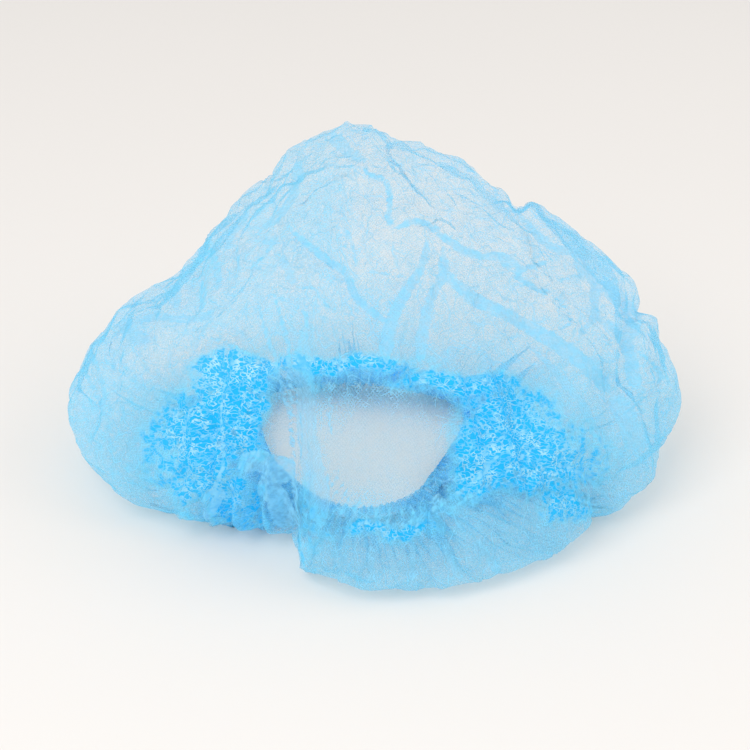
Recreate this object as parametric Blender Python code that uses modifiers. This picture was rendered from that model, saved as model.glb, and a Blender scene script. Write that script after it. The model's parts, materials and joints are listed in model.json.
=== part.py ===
"""A disposable bouffant cap: one round sheet of soft non-woven cloth, gathered on a loop of elastic.

Metres, +Z up. The cap stands on its gathered mouth, as it does when it is put down on a table.
+X is the wearer's side that reaches furthest, and -Y is the front, where the cloth spills lowest.
Every shape is worked out round the axis of the mouth, and the whole is centred at the end.
"""

import math

import bmesh
import bpy
import numpy as np
from mathutils import Matrix

# Driving sizes of the crown, measured from the axis of the mouth.
CROWN_RADIUS = 0.157
CROWN_HEIGHT = 0.170
MOUTH_WIDTH = 0.110
MOUTH_DEPTH = 0.122

# The far side of the hem stands off the table, because the stiff crown behind it draws it up.
HEM_LIFT = 0.012
HEM_LIFT_SPREAD = 1.5

# The crown turns in under its widest line by this share of that line's height.
FOOT_TUCK_SHARE = 1.1

# Halfway from the hem to that turn, the cloth still stands at this share of the hem's lift.
FOOT_SAG_SHARE = 0.35

# The cloth is 0.1 mm thick in the hand. Its solid is drawn as a wall that can be made.
CLOTH_WALL = 0.0011

# The elastic is a narrow flat band, and the hem is folded loosely over it.
ELASTIC_HEIGHT = 0.0030
ELASTIC_THICKNESS = 0.0014
ELASTIC_CLEARANCE = 0.0005
ELASTIC_STEPS = 72
HEM_FOLD_WIDTH = 0.0065
HEM_PUFF = 0.0020

# Gathers: pleats that rise from the table round the mouth and die away up the crown.
# The whole sinks by REST_SINK, and what is then within REST_FLAT of the table lies flat on it.
PLEATS = 32
PLEAT_HEIGHT = 0.0065
PLEAT_PEAK_SHARE = 0.10
PLEAT_END_SHARE = 0.46
REST_SINK = 0.0007
REST_FLAT = 0.0006

# Folds of the crown: how deep the deepest one is, and how wide the widest one is.
FOLD_DEPTH = 0.014
FOLD_WIDTH = 0.026

# Fineness of the mesh before its flat stretches are thinned out.
COLUMNS_PER_PLEAT = 4
CROWN_ROWS = 72
HEM_ARC_STEPS = 4
CROWN_TRIANGLES = 5300

# The sheet starts as a square grid of this side, which is then laid over its rows and columns.
GRID_WIDTH = 1.0

# One row for each direction round the mouth, in degrees from +X towards +Y.
# mouth is a share of the oval with sides MOUTH_WIDTH and MOUTH_DEPTH.
# Columns that end in out are shares of CROWN_RADIUS, and those that end in up are shares of CROWN_HEIGHT.
SECTION_COLUMNS = (
    "azimuth",
    "mouth",
    "belly_out",
    "belly_up",
    "shoulder_out",
    "shoulder_up",
    "upper_out",
    "upper_up",
)
SECTIONS = (
    (0, 0.94, 1.01, 0.20, 0.87, 0.54, 0.52, 0.80),
    (30, 1.17, 0.94, 0.20, 0.77, 0.53, 0.46, 0.82),
    (45, 1.10, 0.87, 0.20, 0.71, 0.55, 0.43, 0.84),
    (60, 0.96, 0.80, 0.21, 0.65, 0.57, 0.40, 0.86),
    (90, 0.86, 0.75, 0.22, 0.62, 0.63, 0.39, 0.92),
    (120, 1.05, 0.78, 0.21, 0.62, 0.58, 0.39, 0.88),
    (135, 1.20, 0.82, 0.20, 0.65, 0.52, 0.40, 0.81),
    (150, 1.12, 0.86, 0.19, 0.70, 0.45, 0.42, 0.74),
    (180, 0.94, 0.92, 0.19, 0.82, 0.38, 0.46, 0.68),
    (205, 0.88, 0.85, 0.14, 0.77, 0.37, 0.44, 0.69),
    (228, 0.87, 0.71, 0.12, 0.65, 0.41, 0.40, 0.75),
    (248, 0.95, 0.61, 0.11, 0.59, 0.44, 0.38, 0.79),
    (258, 0.99, 0.76, 0.09, 0.66, 0.42, 0.38, 0.81),
    (275, 1.02, 0.82, 0.09, 0.70, 0.43, 0.39, 0.83),
    (300, 0.97, 0.86, 0.09, 0.75, 0.42, 0.42, 0.82),
    (320, 0.88, 0.88, 0.10, 0.78, 0.44, 0.45, 0.80),
    (340, 0.87, 0.96, 0.14, 0.84, 0.46, 0.50, 0.79),
)

# One row for each main fold, a groove over the cloth from its start past its middle to its end.
# Each place is an azimuth and a share of the way along the cloth, from 0 at the hem to 1 at the top.
# depth and width are shares of FOLD_DEPTH and FOLD_WIDTH.
FOLD_COLUMNS = ("start", "middle", "end", "depth", "width")
FOLDS = (
    ((275, 0.95), (287, 0.90), (282, 0.80), 0.35, 0.42),
    ((276, 0.83), (302, 0.80), (326, 0.66), 0.55, 0.50),
    ((300, 0.78), (308, 0.67), (332, 0.47), 0.55, 0.62),
    ((297, 0.79), (284, 0.72), (275, 0.62), 0.50, 0.45),
    ((301, 0.77), (293, 0.71), (287, 0.60), 0.40, 0.42),
    ((236, 0.83), (255, 0.76), (278, 0.68), 0.50, 0.50),
    ((190, 0.88), (230, 0.82), (210, 0.62), 0.45, 0.50),
    ((40, 0.84), (22, 0.78), (-8, 0.72), 0.65, 0.50),
    ((22, 0.62), (2, 0.56), (-17, 0.50), 0.55, 0.50),
    ((232, 0.22), (231, 0.32), (227, 0.47), 0.80, 0.50),
    ((250, 0.22), (249, 0.36), (252, 0.58), 0.70, 0.45),
    ((327, 0.20), (326, 0.30), (322, 0.44), 0.80, 0.50),
    ((346, 0.24), (347, 0.32), (350, 0.42), 0.55, 0.45),
    ((160, 0.86), (178, 0.82), (200, 0.79), 0.25, 0.35),
    ((160, 0.79), (180, 0.75), (205, 0.71), 0.30, 0.38),
    ((158, 0.71), (178, 0.67), (203, 0.63), 0.30, 0.38),
    ((156, 0.63), (176, 0.59), (198, 0.55), 0.30, 0.38),
    ((165, 0.52), (182, 0.50), (202, 0.44), 0.40, 0.42),
    ((60, 0.84), (76, 0.70), (66, 0.50), 0.50, 0.50),
    ((128, 0.88), (106, 0.72), (116, 0.50), 0.50, 0.50),
    ((30, 0.72), (46, 0.58), (38, 0.44), 0.45, 0.48),
    ((142, 0.74), (132, 0.58), (146, 0.42), 0.45, 0.48),
    ((84, 0.62), (92, 0.50), (88, 0.38), 0.40, 0.45),
)

SHEET_BLUE = (0.30, 0.72, 0.95, 1.0)
ELASTIC_WHITE = (0.86, 0.93, 0.96, 1.0)


def clear_scene():
    """Removes what Blender's startup file holds."""
    for obj in list(bpy.data.objects):
        bpy.data.objects.remove(obj)


def make_material(name, colour, roughness):
    """A plain cloth finish."""
    material = bpy.data.materials.new(name)
    material.use_nodes = True
    shader = material.node_tree.nodes["Principled BSDF"]
    shader.inputs["Base Color"].default_value = colour
    shader.inputs["Roughness"].default_value = roughness
    shader.inputs["Metallic"].default_value = 0.0
    return material


def column_of(table, names, name):
    """One named column of a table, as numbers."""
    return np.array([row[names.index(name)] for row in table], float)


def round_value(name, azimuth):
    """A section column at any direction: a smooth closed curve through the rows."""
    turn = column_of(SECTIONS, SECTION_COLUMNS, "azimuth")
    value = column_of(SECTIONS, SECTION_COLUMNS, name)
    turn = np.concatenate([turn[-2:] - 360, turn, turn[:2] + 360])
    value = np.concatenate([value[-2:], value, value[:2]])
    slope = (value[2:] - value[:-2]) / (turn[2:] - turn[:-2])
    turn, value = turn[1:-1], value[1:-1]
    at = azimuth % 360
    i = int(np.searchsorted(turn, at, side="right")) - 1
    gap = turn[i + 1] - turn[i]
    t = (at - turn[i]) / gap
    from_value = (1 + 2 * t) * (1 - t) ** 2 * value[i] + t * (1 - t) ** 2 * gap * slope[i]
    to_value = t**2 * (3 - 2 * t) * value[i + 1] - t**2 * (1 - t) * gap * slope[i + 1]
    return from_value + to_value


def mouth_radius(azimuth):
    """From the axis of the mouth to the middle of the elastic: an oval with the sheet's unevenness."""
    a = math.radians(azimuth)
    across, along = MOUTH_WIDTH / 2, MOUTH_DEPTH / 2
    oval = across * along / math.hypot(along * math.cos(a), across * math.sin(a))
    return oval * round_value("mouth", azimuth)


def hem_lift(azimuth):
    """How far the hem stands off the table."""
    return HEM_LIFT * max(0.0, math.sin(math.radians(azimuth))) ** HEM_LIFT_SPREAD


def hem_radius():
    """The smallest outer radius of the hem's tube round the elastic."""
    return math.hypot(ELASTIC_HEIGHT, ELASTIC_THICKNESS) / 2 + ELASTIC_CLEARANCE + CLOTH_WALL


def meridian(azimuth):
    """The smooth outside of the crown in one direction, from hem to top, as (distance out, height)."""
    belly, shoulder, upper, opposite = (
        (CROWN_RADIUS * round_value(out, at), CROWN_HEIGHT * round_value(up, at))
        for out, up, at in (
            ("belly_out", "belly_up", azimuth),
            ("shoulder_out", "shoulder_up", azimuth),
            ("upper_out", "upper_up", azimuth),
            ("upper_out", "upper_up", azimuth + 180),
        )
    )
    hem = mouth_radius(azimuth)
    foot = belly[0] - FOOT_TUCK_SHARE * belly[1]
    start = (hem - (foot - hem) / 2, 2 * hem_lift(azimuth))
    end = (-opposite[0], opposite[1])
    lift = hem_lift(azimuth)
    flat = [(hem, lift), ((hem + foot) / 2, FOOT_SAG_SHARE * lift), (foot, 0)]
    return curve_through(np.array([start, *flat, belly, shoulder, upper, (0, CROWN_HEIGHT), end]))


def curve_through(knots, steps=24):
    """A smooth curve through all knots but the first and last, which only steer its ends."""
    span = np.sqrt(np.linalg.norm(np.diff(knots, axis=0), axis=1))
    at = np.concatenate([[0], np.cumsum(span)])
    slope = (knots[2:] - knots[:-2]) / (at[2:] - at[:-2])[:, None]
    line = []
    for i in range(1, len(knots) - 2):
        t = np.linspace(0, 1, steps, endpoint=i == len(knots) - 3)[:, None]
        gap = at[i + 1] - at[i]
        line.append(
            (1 + 2 * t) * (1 - t) ** 2 * knots[i]
            + t * (1 - t) ** 2 * gap * slope[i - 1]
            + t**2 * (3 - 2 * t) * knots[i + 1]
            - t**2 * (1 - t) * gap * slope[i]
        )
    return np.concatenate(line)


def crown_form(azimuths, shares):
    """Points of the smooth crown, one row for each direction and one column for each share of the way up."""
    points = np.zeros((len(azimuths), len(shares), 3))
    for k, azimuth in enumerate(azimuths):
        line = meridian(azimuth)
        length = np.concatenate([[0], np.cumsum(np.linalg.norm(np.diff(line, axis=0), axis=1))])
        out = np.interp(shares * length[-1], length, line[:, 0])
        a = math.radians(azimuth)
        points[k, :, 0] = out * math.cos(a)
        points[k, :, 1] = out * math.sin(a)
        points[k, :, 2] = np.interp(shares * length[-1], length, line[:, 1])
    return points


def outward(points):
    """Unit normals of the smooth crown, pointing out of the cap."""
    round_it = np.roll(points, -1, axis=0) - np.roll(points, 1, axis=0)
    up_it = np.gradient(points, axis=1)
    normal = np.cross(round_it, up_it)
    normal[:, -1] = (0, 0, 1)
    return normal / np.maximum(np.linalg.norm(normal, axis=2, keepdims=True), 1e-12)


def gather_depth(azimuths, shares):
    """How far each pleat lifts the cloth off its smooth form."""
    wave = (1 + np.cos(np.radians(azimuths) * PLEATS)) / 2
    rise = np.clip(shares / PLEAT_PEAK_SHARE, 0, 1)
    fall = np.clip((PLEAT_END_SHARE - shares) / (PLEAT_END_SHARE - PLEAT_PEAK_SHARE), 0, 1) ** 1.5
    height = HEM_PUFF + (PLEAT_HEIGHT - HEM_PUFF) * rise
    return wave[:, None] * (height * fall)[None, :]


def fold_depth(points):
    """How far the main folds push the cloth in, by each point's distance to their lines."""
    depth = np.zeros(points.shape[:2])
    for row in FOLDS:
        fold = dict(zip(FOLD_COLUMNS, row))
        places = np.array([fold["start"], fold["middle"], fold["end"]], float)
        along = np.linspace(0, 2, 33)
        turn = np.interp(along, (0, 1, 2), places[:, 0])
        share = np.interp(along, (0, 1, 2), places[:, 1])
        line = np.array([crown_form([a], np.array([s]))[0, 0] for a, s in zip(turn, share)])
        away = np.linalg.norm(points[:, :, None] - line, axis=3)
        nearest = away.argmin(axis=2) / (len(along) - 1)
        fade = np.sin(math.pi * np.clip(nearest, 0.03, 0.97)) ** 0.6
        share_of_width = np.clip(away.min(axis=2) / (fold["width"] * FOLD_WIDTH), 0, 1)
        depth = np.maximum(depth, fold["depth"] * FOLD_DEPTH * fade * (1 - share_of_width**2) ** 2)
    return depth


def hem_rows(azimuths):
    """The folded hem: a loose tube round the elastic and the turned-in edge above it."""
    swell = HEM_PUFF * (1 - np.cos(np.radians(azimuths) * PLEATS)) / 2
    radius = hem_radius() + swell
    middle = np.array([mouth_radius(a) for a in azimuths])
    height = np.array([hem_lift(a) for a in azimuths]) + hem_radius() + HEM_PUFF
    rows = [(middle + HEM_FOLD_WIDTH, height + radius)]
    for k in range(HEM_ARC_STEPS + 1):
        turn = math.pi / 2 + math.pi * k / HEM_ARC_STEPS
        rows.append((middle + radius * math.cos(turn), height + radius * math.sin(turn)))
    a = np.radians(azimuths)
    return [np.stack([out * np.cos(a), out * np.sin(a), up], axis=1) for out, up in rows]


def sheet_points():
    """The outside of the whole sheet, as rows from its folded-in edge to the top of the crown."""
    columns = PLEATS * COLUMNS_PER_PLEAT
    azimuths = np.arange(columns) * 360 / columns
    shares = np.linspace(0, 1, CROWN_ROWS)
    smooth = crown_form(azimuths, shares)
    normal = outward(smooth)
    inward = gather_depth(azimuths, shares) + fold_depth(smooth)
    inward[:, -1] = inward[0, -1]
    folded = smooth - normal * inward[:, :, None]
    folded[:, :, 2] = np.maximum(folded[:, :, 2] - REST_SINK, 0)
    rows = hem_rows(azimuths)
    rows[-1][:, 2] = np.maximum(rows[-1][:, 2] - REST_SINK, 0)
    return rows + [folded[:, k] for k in range(1, len(shares))]


def make_sheet():
    """The crown, with its gathers, folds and hem, as one wall of cloth."""
    rows = sheet_points()
    columns = len(rows[0])
    mesh = bpy.data.meshes.new("crown_sheet")
    build = bmesh.new()
    crumpled = build.verts.layers.deform.verify()
    corner = Matrix.Translation((GRID_WIDTH / 2, GRID_WIDTH / 2, 0))
    bmesh.ops.create_grid(
        build, x_segments=columns, y_segments=len(rows) - 1, size=GRID_WIDTH / 2, matrix=corner
    )
    for vert in build.verts:
        column = round(vert.co.x / GRID_WIDTH * columns) % columns
        row = round(vert.co.y / GRID_WIDTH * (len(rows) - 1))
        vert[crumpled][0] = float(row > HEM_ARC_STEPS + 2)
        vert.co = rows[row][column]
    bmesh.ops.remove_doubles(build, verts=build.verts, dist=1e-6)
    build.to_mesh(mesh)
    build.free()
    sheet = bpy.data.objects.new("crown_sheet", mesh)
    sheet.vertex_groups.new(name="crumpled")
    thin_out = sheet.modifiers.new("thin_out", "DECIMATE")
    thin_out.ratio = CROWN_TRIANGLES / (2 * columns * len(rows))
    thin_out.vertex_group = "crumpled"
    thin_out.vertex_group_factor = 100.0
    wall = sheet.modifiers.new("wall", "SOLIDIFY")
    wall.thickness = CLOTH_WALL
    wall.offset = -1
    wall.use_quality_normals = True
    return sheet


def make_elastic():
    """The flat elastic loop, a rounded section turned round the mouth."""
    mesh = bpy.data.meshes.new("elastic_band")
    build = bmesh.new()
    middle = MOUTH_WIDTH / 2
    half_out, half_up = ELASTIC_THICKNESS / 2, ELASTIC_HEIGHT / 2
    height = hem_radius() + HEM_PUFF
    corner = half_out / 2
    outline = [
        (half_out - corner, -half_up),
        (half_out, -half_up + corner),
        (half_out, half_up - corner),
        (half_out - corner, half_up),
        (corner - half_out, half_up),
        (-half_out, half_up - corner),
        (-half_out, -half_up + corner),
        (corner - half_out, -half_up),
    ]
    verts = [build.verts.new((middle + out, 0, height + up)) for out, up in outline]
    edges = [build.edges.new((verts[k], verts[k - 1])) for k in range(len(verts))]
    bmesh.ops.spin(
        build,
        geom=verts + edges,
        cent=(0, 0, 0),
        axis=(0, 0, 1),
        angle=2 * math.pi,
        steps=ELASTIC_STEPS,
        use_merge=True,
    )
    bmesh.ops.remove_doubles(build, verts=build.verts, dist=1e-6)
    for vert in build.verts:
        azimuth = math.degrees(math.atan2(vert.co.y, vert.co.x))
        out = math.hypot(vert.co.x, vert.co.y)
        scale = (out - middle + mouth_radius(azimuth)) / out
        vert.co.x *= scale
        vert.co.y *= scale
        vert.co.z += hem_lift(azimuth)
    bmesh.ops.recalc_face_normals(build, faces=build.faces)
    build.to_mesh(mesh)
    build.free()
    band = bpy.data.objects.new("elastic_band", mesh)
    return band


def apply_modifiers(obj):
    """Makes the shape that the modifiers give the object's own mesh."""
    evaluated = obj.evaluated_get(bpy.context.evaluated_depsgraph_get())
    obj.data = bpy.data.meshes.new_from_object(evaluated)
    obj.modifiers.clear()


def press_flat(sheet):
    """Lays the cloth that nearly meets the table flat on it."""
    low = min(vert.co.z for vert in sheet.data.vertices)
    for vert in sheet.data.vertices:
        if vert.co.z < low + REST_FLAT:
            vert.co.z = low


def centre_on_sheet(pieces):
    """Moves all pieces together until the crown's box stands over the origin on z = 0."""
    points = np.array([vert.co for vert in pieces[0].data.vertices])
    low, high = points.min(axis=0), points.max(axis=0)
    shift = Matrix.Translation((-(low[0] + high[0]) / 2, -(low[1] + high[1]) / 2, -low[2]))
    for piece in pieces:
        piece.data.transform(shift)


def main():
    clear_scene()
    cap = bpy.data.collections.new("bouffant_cap")
    bpy.context.scene.collection.children.link(cap)
    sheet = make_sheet()
    band = make_elastic()
    for piece in (sheet, band):
        cap.objects.link(piece)
    apply_modifiers(sheet)
    press_flat(sheet)
    sheet.data.materials.append(make_material("nonwoven_sheet", SHEET_BLUE, 0.8))
    band.data.materials.append(make_material("elastic", ELASTIC_WHITE, 0.6))
    centre_on_sheet([sheet, band])


main()
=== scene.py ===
import json
import math

import bmesh
import bpy
import numpy as np
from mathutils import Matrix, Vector

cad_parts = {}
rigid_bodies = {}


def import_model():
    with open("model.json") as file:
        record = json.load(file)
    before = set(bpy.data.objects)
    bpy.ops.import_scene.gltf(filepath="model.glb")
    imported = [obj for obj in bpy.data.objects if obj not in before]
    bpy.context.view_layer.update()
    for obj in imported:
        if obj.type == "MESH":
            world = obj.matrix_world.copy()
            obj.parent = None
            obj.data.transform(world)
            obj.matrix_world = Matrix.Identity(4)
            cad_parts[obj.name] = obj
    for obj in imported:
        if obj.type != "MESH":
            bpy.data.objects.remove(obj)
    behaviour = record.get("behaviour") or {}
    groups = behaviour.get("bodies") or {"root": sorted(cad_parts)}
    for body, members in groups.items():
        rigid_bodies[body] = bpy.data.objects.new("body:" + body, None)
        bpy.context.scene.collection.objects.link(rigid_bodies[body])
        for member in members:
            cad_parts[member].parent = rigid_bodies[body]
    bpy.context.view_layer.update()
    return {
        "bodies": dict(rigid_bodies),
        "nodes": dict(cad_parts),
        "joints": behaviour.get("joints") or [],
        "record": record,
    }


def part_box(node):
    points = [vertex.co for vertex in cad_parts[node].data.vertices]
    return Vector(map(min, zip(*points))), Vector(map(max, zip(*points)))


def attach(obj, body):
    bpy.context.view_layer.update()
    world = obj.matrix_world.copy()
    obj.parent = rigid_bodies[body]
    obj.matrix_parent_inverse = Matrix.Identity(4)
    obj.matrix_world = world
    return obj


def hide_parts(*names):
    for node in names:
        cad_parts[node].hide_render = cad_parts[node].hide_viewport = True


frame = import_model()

bl_info = {
    "name": "Bouffant cap",
    "version": (1, 0, 0),
    "blender": (4, 5, 0),
    "location": "View3D > Sidebar > Cap",
    "description": "Dresses a packed bouffant cap: the gathered cloth, its elastic and the table under it",
    "category": "Object",
}

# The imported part's boxes, from the frame, and sizes that the scene's pieces share with it. All are in metres.
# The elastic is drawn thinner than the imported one, which is as thick as a solid has to be.
CROWN_BOX = [np.array(corner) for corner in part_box("crown_sheet")]
ELASTIC_BOX = [np.array(corner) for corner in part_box("elastic_band")]
ELASTIC_HEIGHT = 0.003
ELASTIC_THICKNESS = 0.0014
ELASTIC_DRAWN_THICKNESS = 0.0009
MOUTH_WIDTH = 0.110
MOUTH_DEPTH = 0.122

# The elastic ripples where it is slack: finely at its ribs, and by the second height in slow waves.
# It is made in so many steps round the mouth.
RIPPLE_FINE = 0.00012
RIPPLE_SLOW = 0.0002
ELASTIC_STEPS = 540

# The hem stands off the table at the far side, by what the elastic's box is taller than the elastic.
HEM_HEIGHT = ELASTIC_BOX[0][2] + ELASTIC_HEIGHT / 2
HEM_LIFT = ELASTIC_BOX[1][2] - ELASTIC_BOX[0][2] - ELASTIC_HEIGHT
HEM_LIFT_SPREAD = 1.5

# The widest row of the section table, along +X, lies this far past the named reach.
WIDEST_ROW = 1.01

# The crown turns in under its widest line by the first share of that line's height, but no further than
# to the second share of the way from the hem to that line.
# Halfway from the hem to that turn, the cloth stands at the third share of the hem's lift.
FOOT_TUCK = 1.1
FOOT_NEAREST = 0.3
FOOT_SAG = 0.35

# One row for each direction round the mouth, in degrees from +X towards +Y.
# mouth is a share of the oval with sides MOUTH_WIDTH and MOUTH_DEPTH.
# Columns that end in out are shares of the reach, and those that end in up are shares of the height.
SECTION_COLUMNS = (
    "azimuth",
    "mouth",
    "belly_out",
    "belly_up",
    "shoulder_out",
    "shoulder_up",
    "upper_out",
    "upper_up",
)
SECTIONS = (
    (0, 0.94, 1.01, 0.20, 0.87, 0.54, 0.52, 0.80),
    (30, 1.17, 0.94, 0.20, 0.77, 0.53, 0.46, 0.82),
    (45, 1.10, 0.87, 0.20, 0.71, 0.55, 0.43, 0.84),
    (60, 0.96, 0.80, 0.21, 0.65, 0.57, 0.40, 0.86),
    (90, 0.86, 0.75, 0.22, 0.62, 0.63, 0.39, 0.92),
    (120, 1.05, 0.78, 0.21, 0.62, 0.58, 0.39, 0.88),
    (135, 1.20, 0.82, 0.20, 0.65, 0.52, 0.40, 0.81),
    (150, 1.12, 0.86, 0.19, 0.70, 0.45, 0.42, 0.74),
    (180, 0.94, 0.92, 0.19, 0.82, 0.38, 0.46, 0.68),
    (205, 0.88, 0.85, 0.14, 0.77, 0.37, 0.44, 0.69),
    (228, 0.87, 0.71, 0.12, 0.65, 0.41, 0.40, 0.75),
    (248, 0.95, 0.61, 0.11, 0.59, 0.44, 0.38, 0.79),
    (258, 0.99, 0.76, 0.09, 0.66, 0.42, 0.38, 0.81),
    (275, 1.02, 0.82, 0.09, 0.70, 0.43, 0.39, 0.83),
    (300, 0.97, 0.86, 0.09, 0.75, 0.42, 0.42, 0.82),
    (320, 0.88, 0.88, 0.10, 0.78, 0.44, 0.45, 0.80),
    (340, 0.87, 0.96, 0.14, 0.84, 0.46, 0.50, 0.79),
)

# The camera stands where the photograph was taken. Its rise is in degrees, its lens and its sensor are in
# millimetres, and the photograph's width is in pixels.
CAMERA_RISE = 30
CAMERA_DISTANCE = 1.02
CAMERA_LENS = 100
CAMERA_SENSOR = 36
CAMERA_TARGET = (0.001, -0.007, 0.055)
PHOTO_WIDTH = 750

# Grooves of the crown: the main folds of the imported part, and finer ones that only the cloth has.
# Each place is an azimuth and a share of the way along the cloth, from 0 at the hem to 1 at the top.
# The last two columns are shares of the groove depth and of the groove width.
GROOVES = (
    ((275, 0.95), (287, 0.90), (282, 0.80), 0.35, 0.42),
    ((276, 0.83), (302, 0.80), (326, 0.66), 0.55, 0.50),
    ((300, 0.78), (308, 0.67), (332, 0.47), 0.55, 0.62),
    ((297, 0.79), (284, 0.72), (275, 0.62), 0.50, 0.45),
    ((301, 0.77), (293, 0.71), (287, 0.60), 0.40, 0.42),
    ((236, 0.83), (255, 0.76), (278, 0.68), 0.50, 0.50),
    ((190, 0.88), (230, 0.82), (210, 0.62), 0.45, 0.50),
    ((40, 0.84), (22, 0.78), (-8, 0.72), 0.65, 0.50),
    ((22, 0.62), (2, 0.56), (-17, 0.50), 0.55, 0.50),
    ((232, 0.22), (231, 0.32), (227, 0.47), 0.80, 0.50),
    ((250, 0.22), (249, 0.36), (252, 0.58), 0.70, 0.45),
    ((327, 0.20), (326, 0.30), (322, 0.44), 0.80, 0.50),
    ((346, 0.24), (347, 0.32), (350, 0.42), 0.55, 0.45),
    ((160, 0.86), (178, 0.82), (200, 0.79), 0.25, 0.35),
    ((160, 0.79), (180, 0.75), (205, 0.71), 0.30, 0.38),
    ((158, 0.71), (178, 0.67), (203, 0.63), 0.30, 0.38),
    ((156, 0.63), (176, 0.59), (198, 0.55), 0.30, 0.38),
    ((165, 0.52), (182, 0.50), (202, 0.44), 0.40, 0.42),
    ((60, 0.84), (76, 0.70), (66, 0.50), 0.50, 0.50),
    ((112, 0.84), (106, 0.72), (116, 0.50), 0.20, 0.50),
    ((30, 0.72), (46, 0.58), (38, 0.44), 0.45, 0.48),
    ((138, 0.62), (134, 0.54), (146, 0.42), 0.25, 0.48),
    ((84, 0.62), (92, 0.50), (88, 0.38), 0.40, 0.45),
    ((150, 0.61), (162, 0.575), (176, 0.55), 0.75, 1.00),
    ((-4, 0.78), (22, 0.70), (40, 0.58), 0.25, 0.35),
    ((-9, 0.54), (4, 0.50), (18, 0.40), 0.20, 0.40),
)
GROOVE_DEPTH = 0.009
GROOVE_WIDTH = 0.026

# A pressed tuck at the back, where the cloth lies in three layers: its places, as in the table of grooves,
# and the width of the doubled band where the tuck starts and where it ends.
TUCK = ((60, 0.84), (76, 0.70), (66, 0.50)), 0.0030, 0.0045

# Small tucks strewn over the crown: how many, their shortest and longest, narrowest and widest.
# They lie inside a share of the sheet's radius.
SMALL_TUCKS = (8, 0.030, 0.080, 0.0010, 0.0022)
SMALL_TUCKS_INSIDE = 0.78

# The layers of a tuck lie this far apart, and the cloth beside it is drawn in over this way at least.
TUCK_GAP = 0.0004
TUCK_REACH = 0.030

# One row for each set of gathers: pleats round the mouth, depth as a share of the pleat height,
# and the shares of the cloth where the set starts, is deepest and ends.
GATHERS = (
    (92, 1.00, -0.30, 0.03, 0.15),
    (46, 0.40, 0.02, 0.10, 0.24),
    (23, 0.34, 0.06, 0.20, 0.42),
    (13, 0.32, 0.16, 0.38, 0.70),
)

# How far a pleat leans sideways, as a share of its depth.
PLEAT_LEAN = 0.28

# A loose frill of the hem, where the front lobe ends: its middle and half width in degrees,
# its scallops round the whole mouth, how far they stand out, and the shares where it is highest and ends.
FRILL = (228, 28, 50, 0.009, 0.16, 0.34)

# Random creases: how many, and the shortest and longest half length of them.
CREASES = (
    (500, 0.018, 0.060),
    (3000, 0.006, 0.018),
)

# Each crease is a narrow spindle. Its half width and its height are between these shares of its half length.
SPINDLE_WIDTHS = (0.14, 0.34)
SPINDLE_HEIGHTS = (0.35, 1.0)

# As the cloth buckles, the hem holds it still, less and less up to the first share of the way to the top.
# The top holds it from the second share on, with at most the third as its firmness.
# The extra growth at the hem is whole up to the fourth share and fades over the fifth.
HEM_HELD = 0.05
TOP_HELD_FROM = 0.75
TOP_HOLD = 0.6
GROWTH_WHOLE = 0.06
GROWTH_FADE = 0.30

# Every random draw starts from its own seed, so the cap comes out the same each time.
GATHER_SEED = 11
TUCK_SEED = 21
GATHERED_SEED = 31
CREASE_SEED = 5

# The cloth keeps this far off the table.
TABLE_GAP = 0.00015

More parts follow.
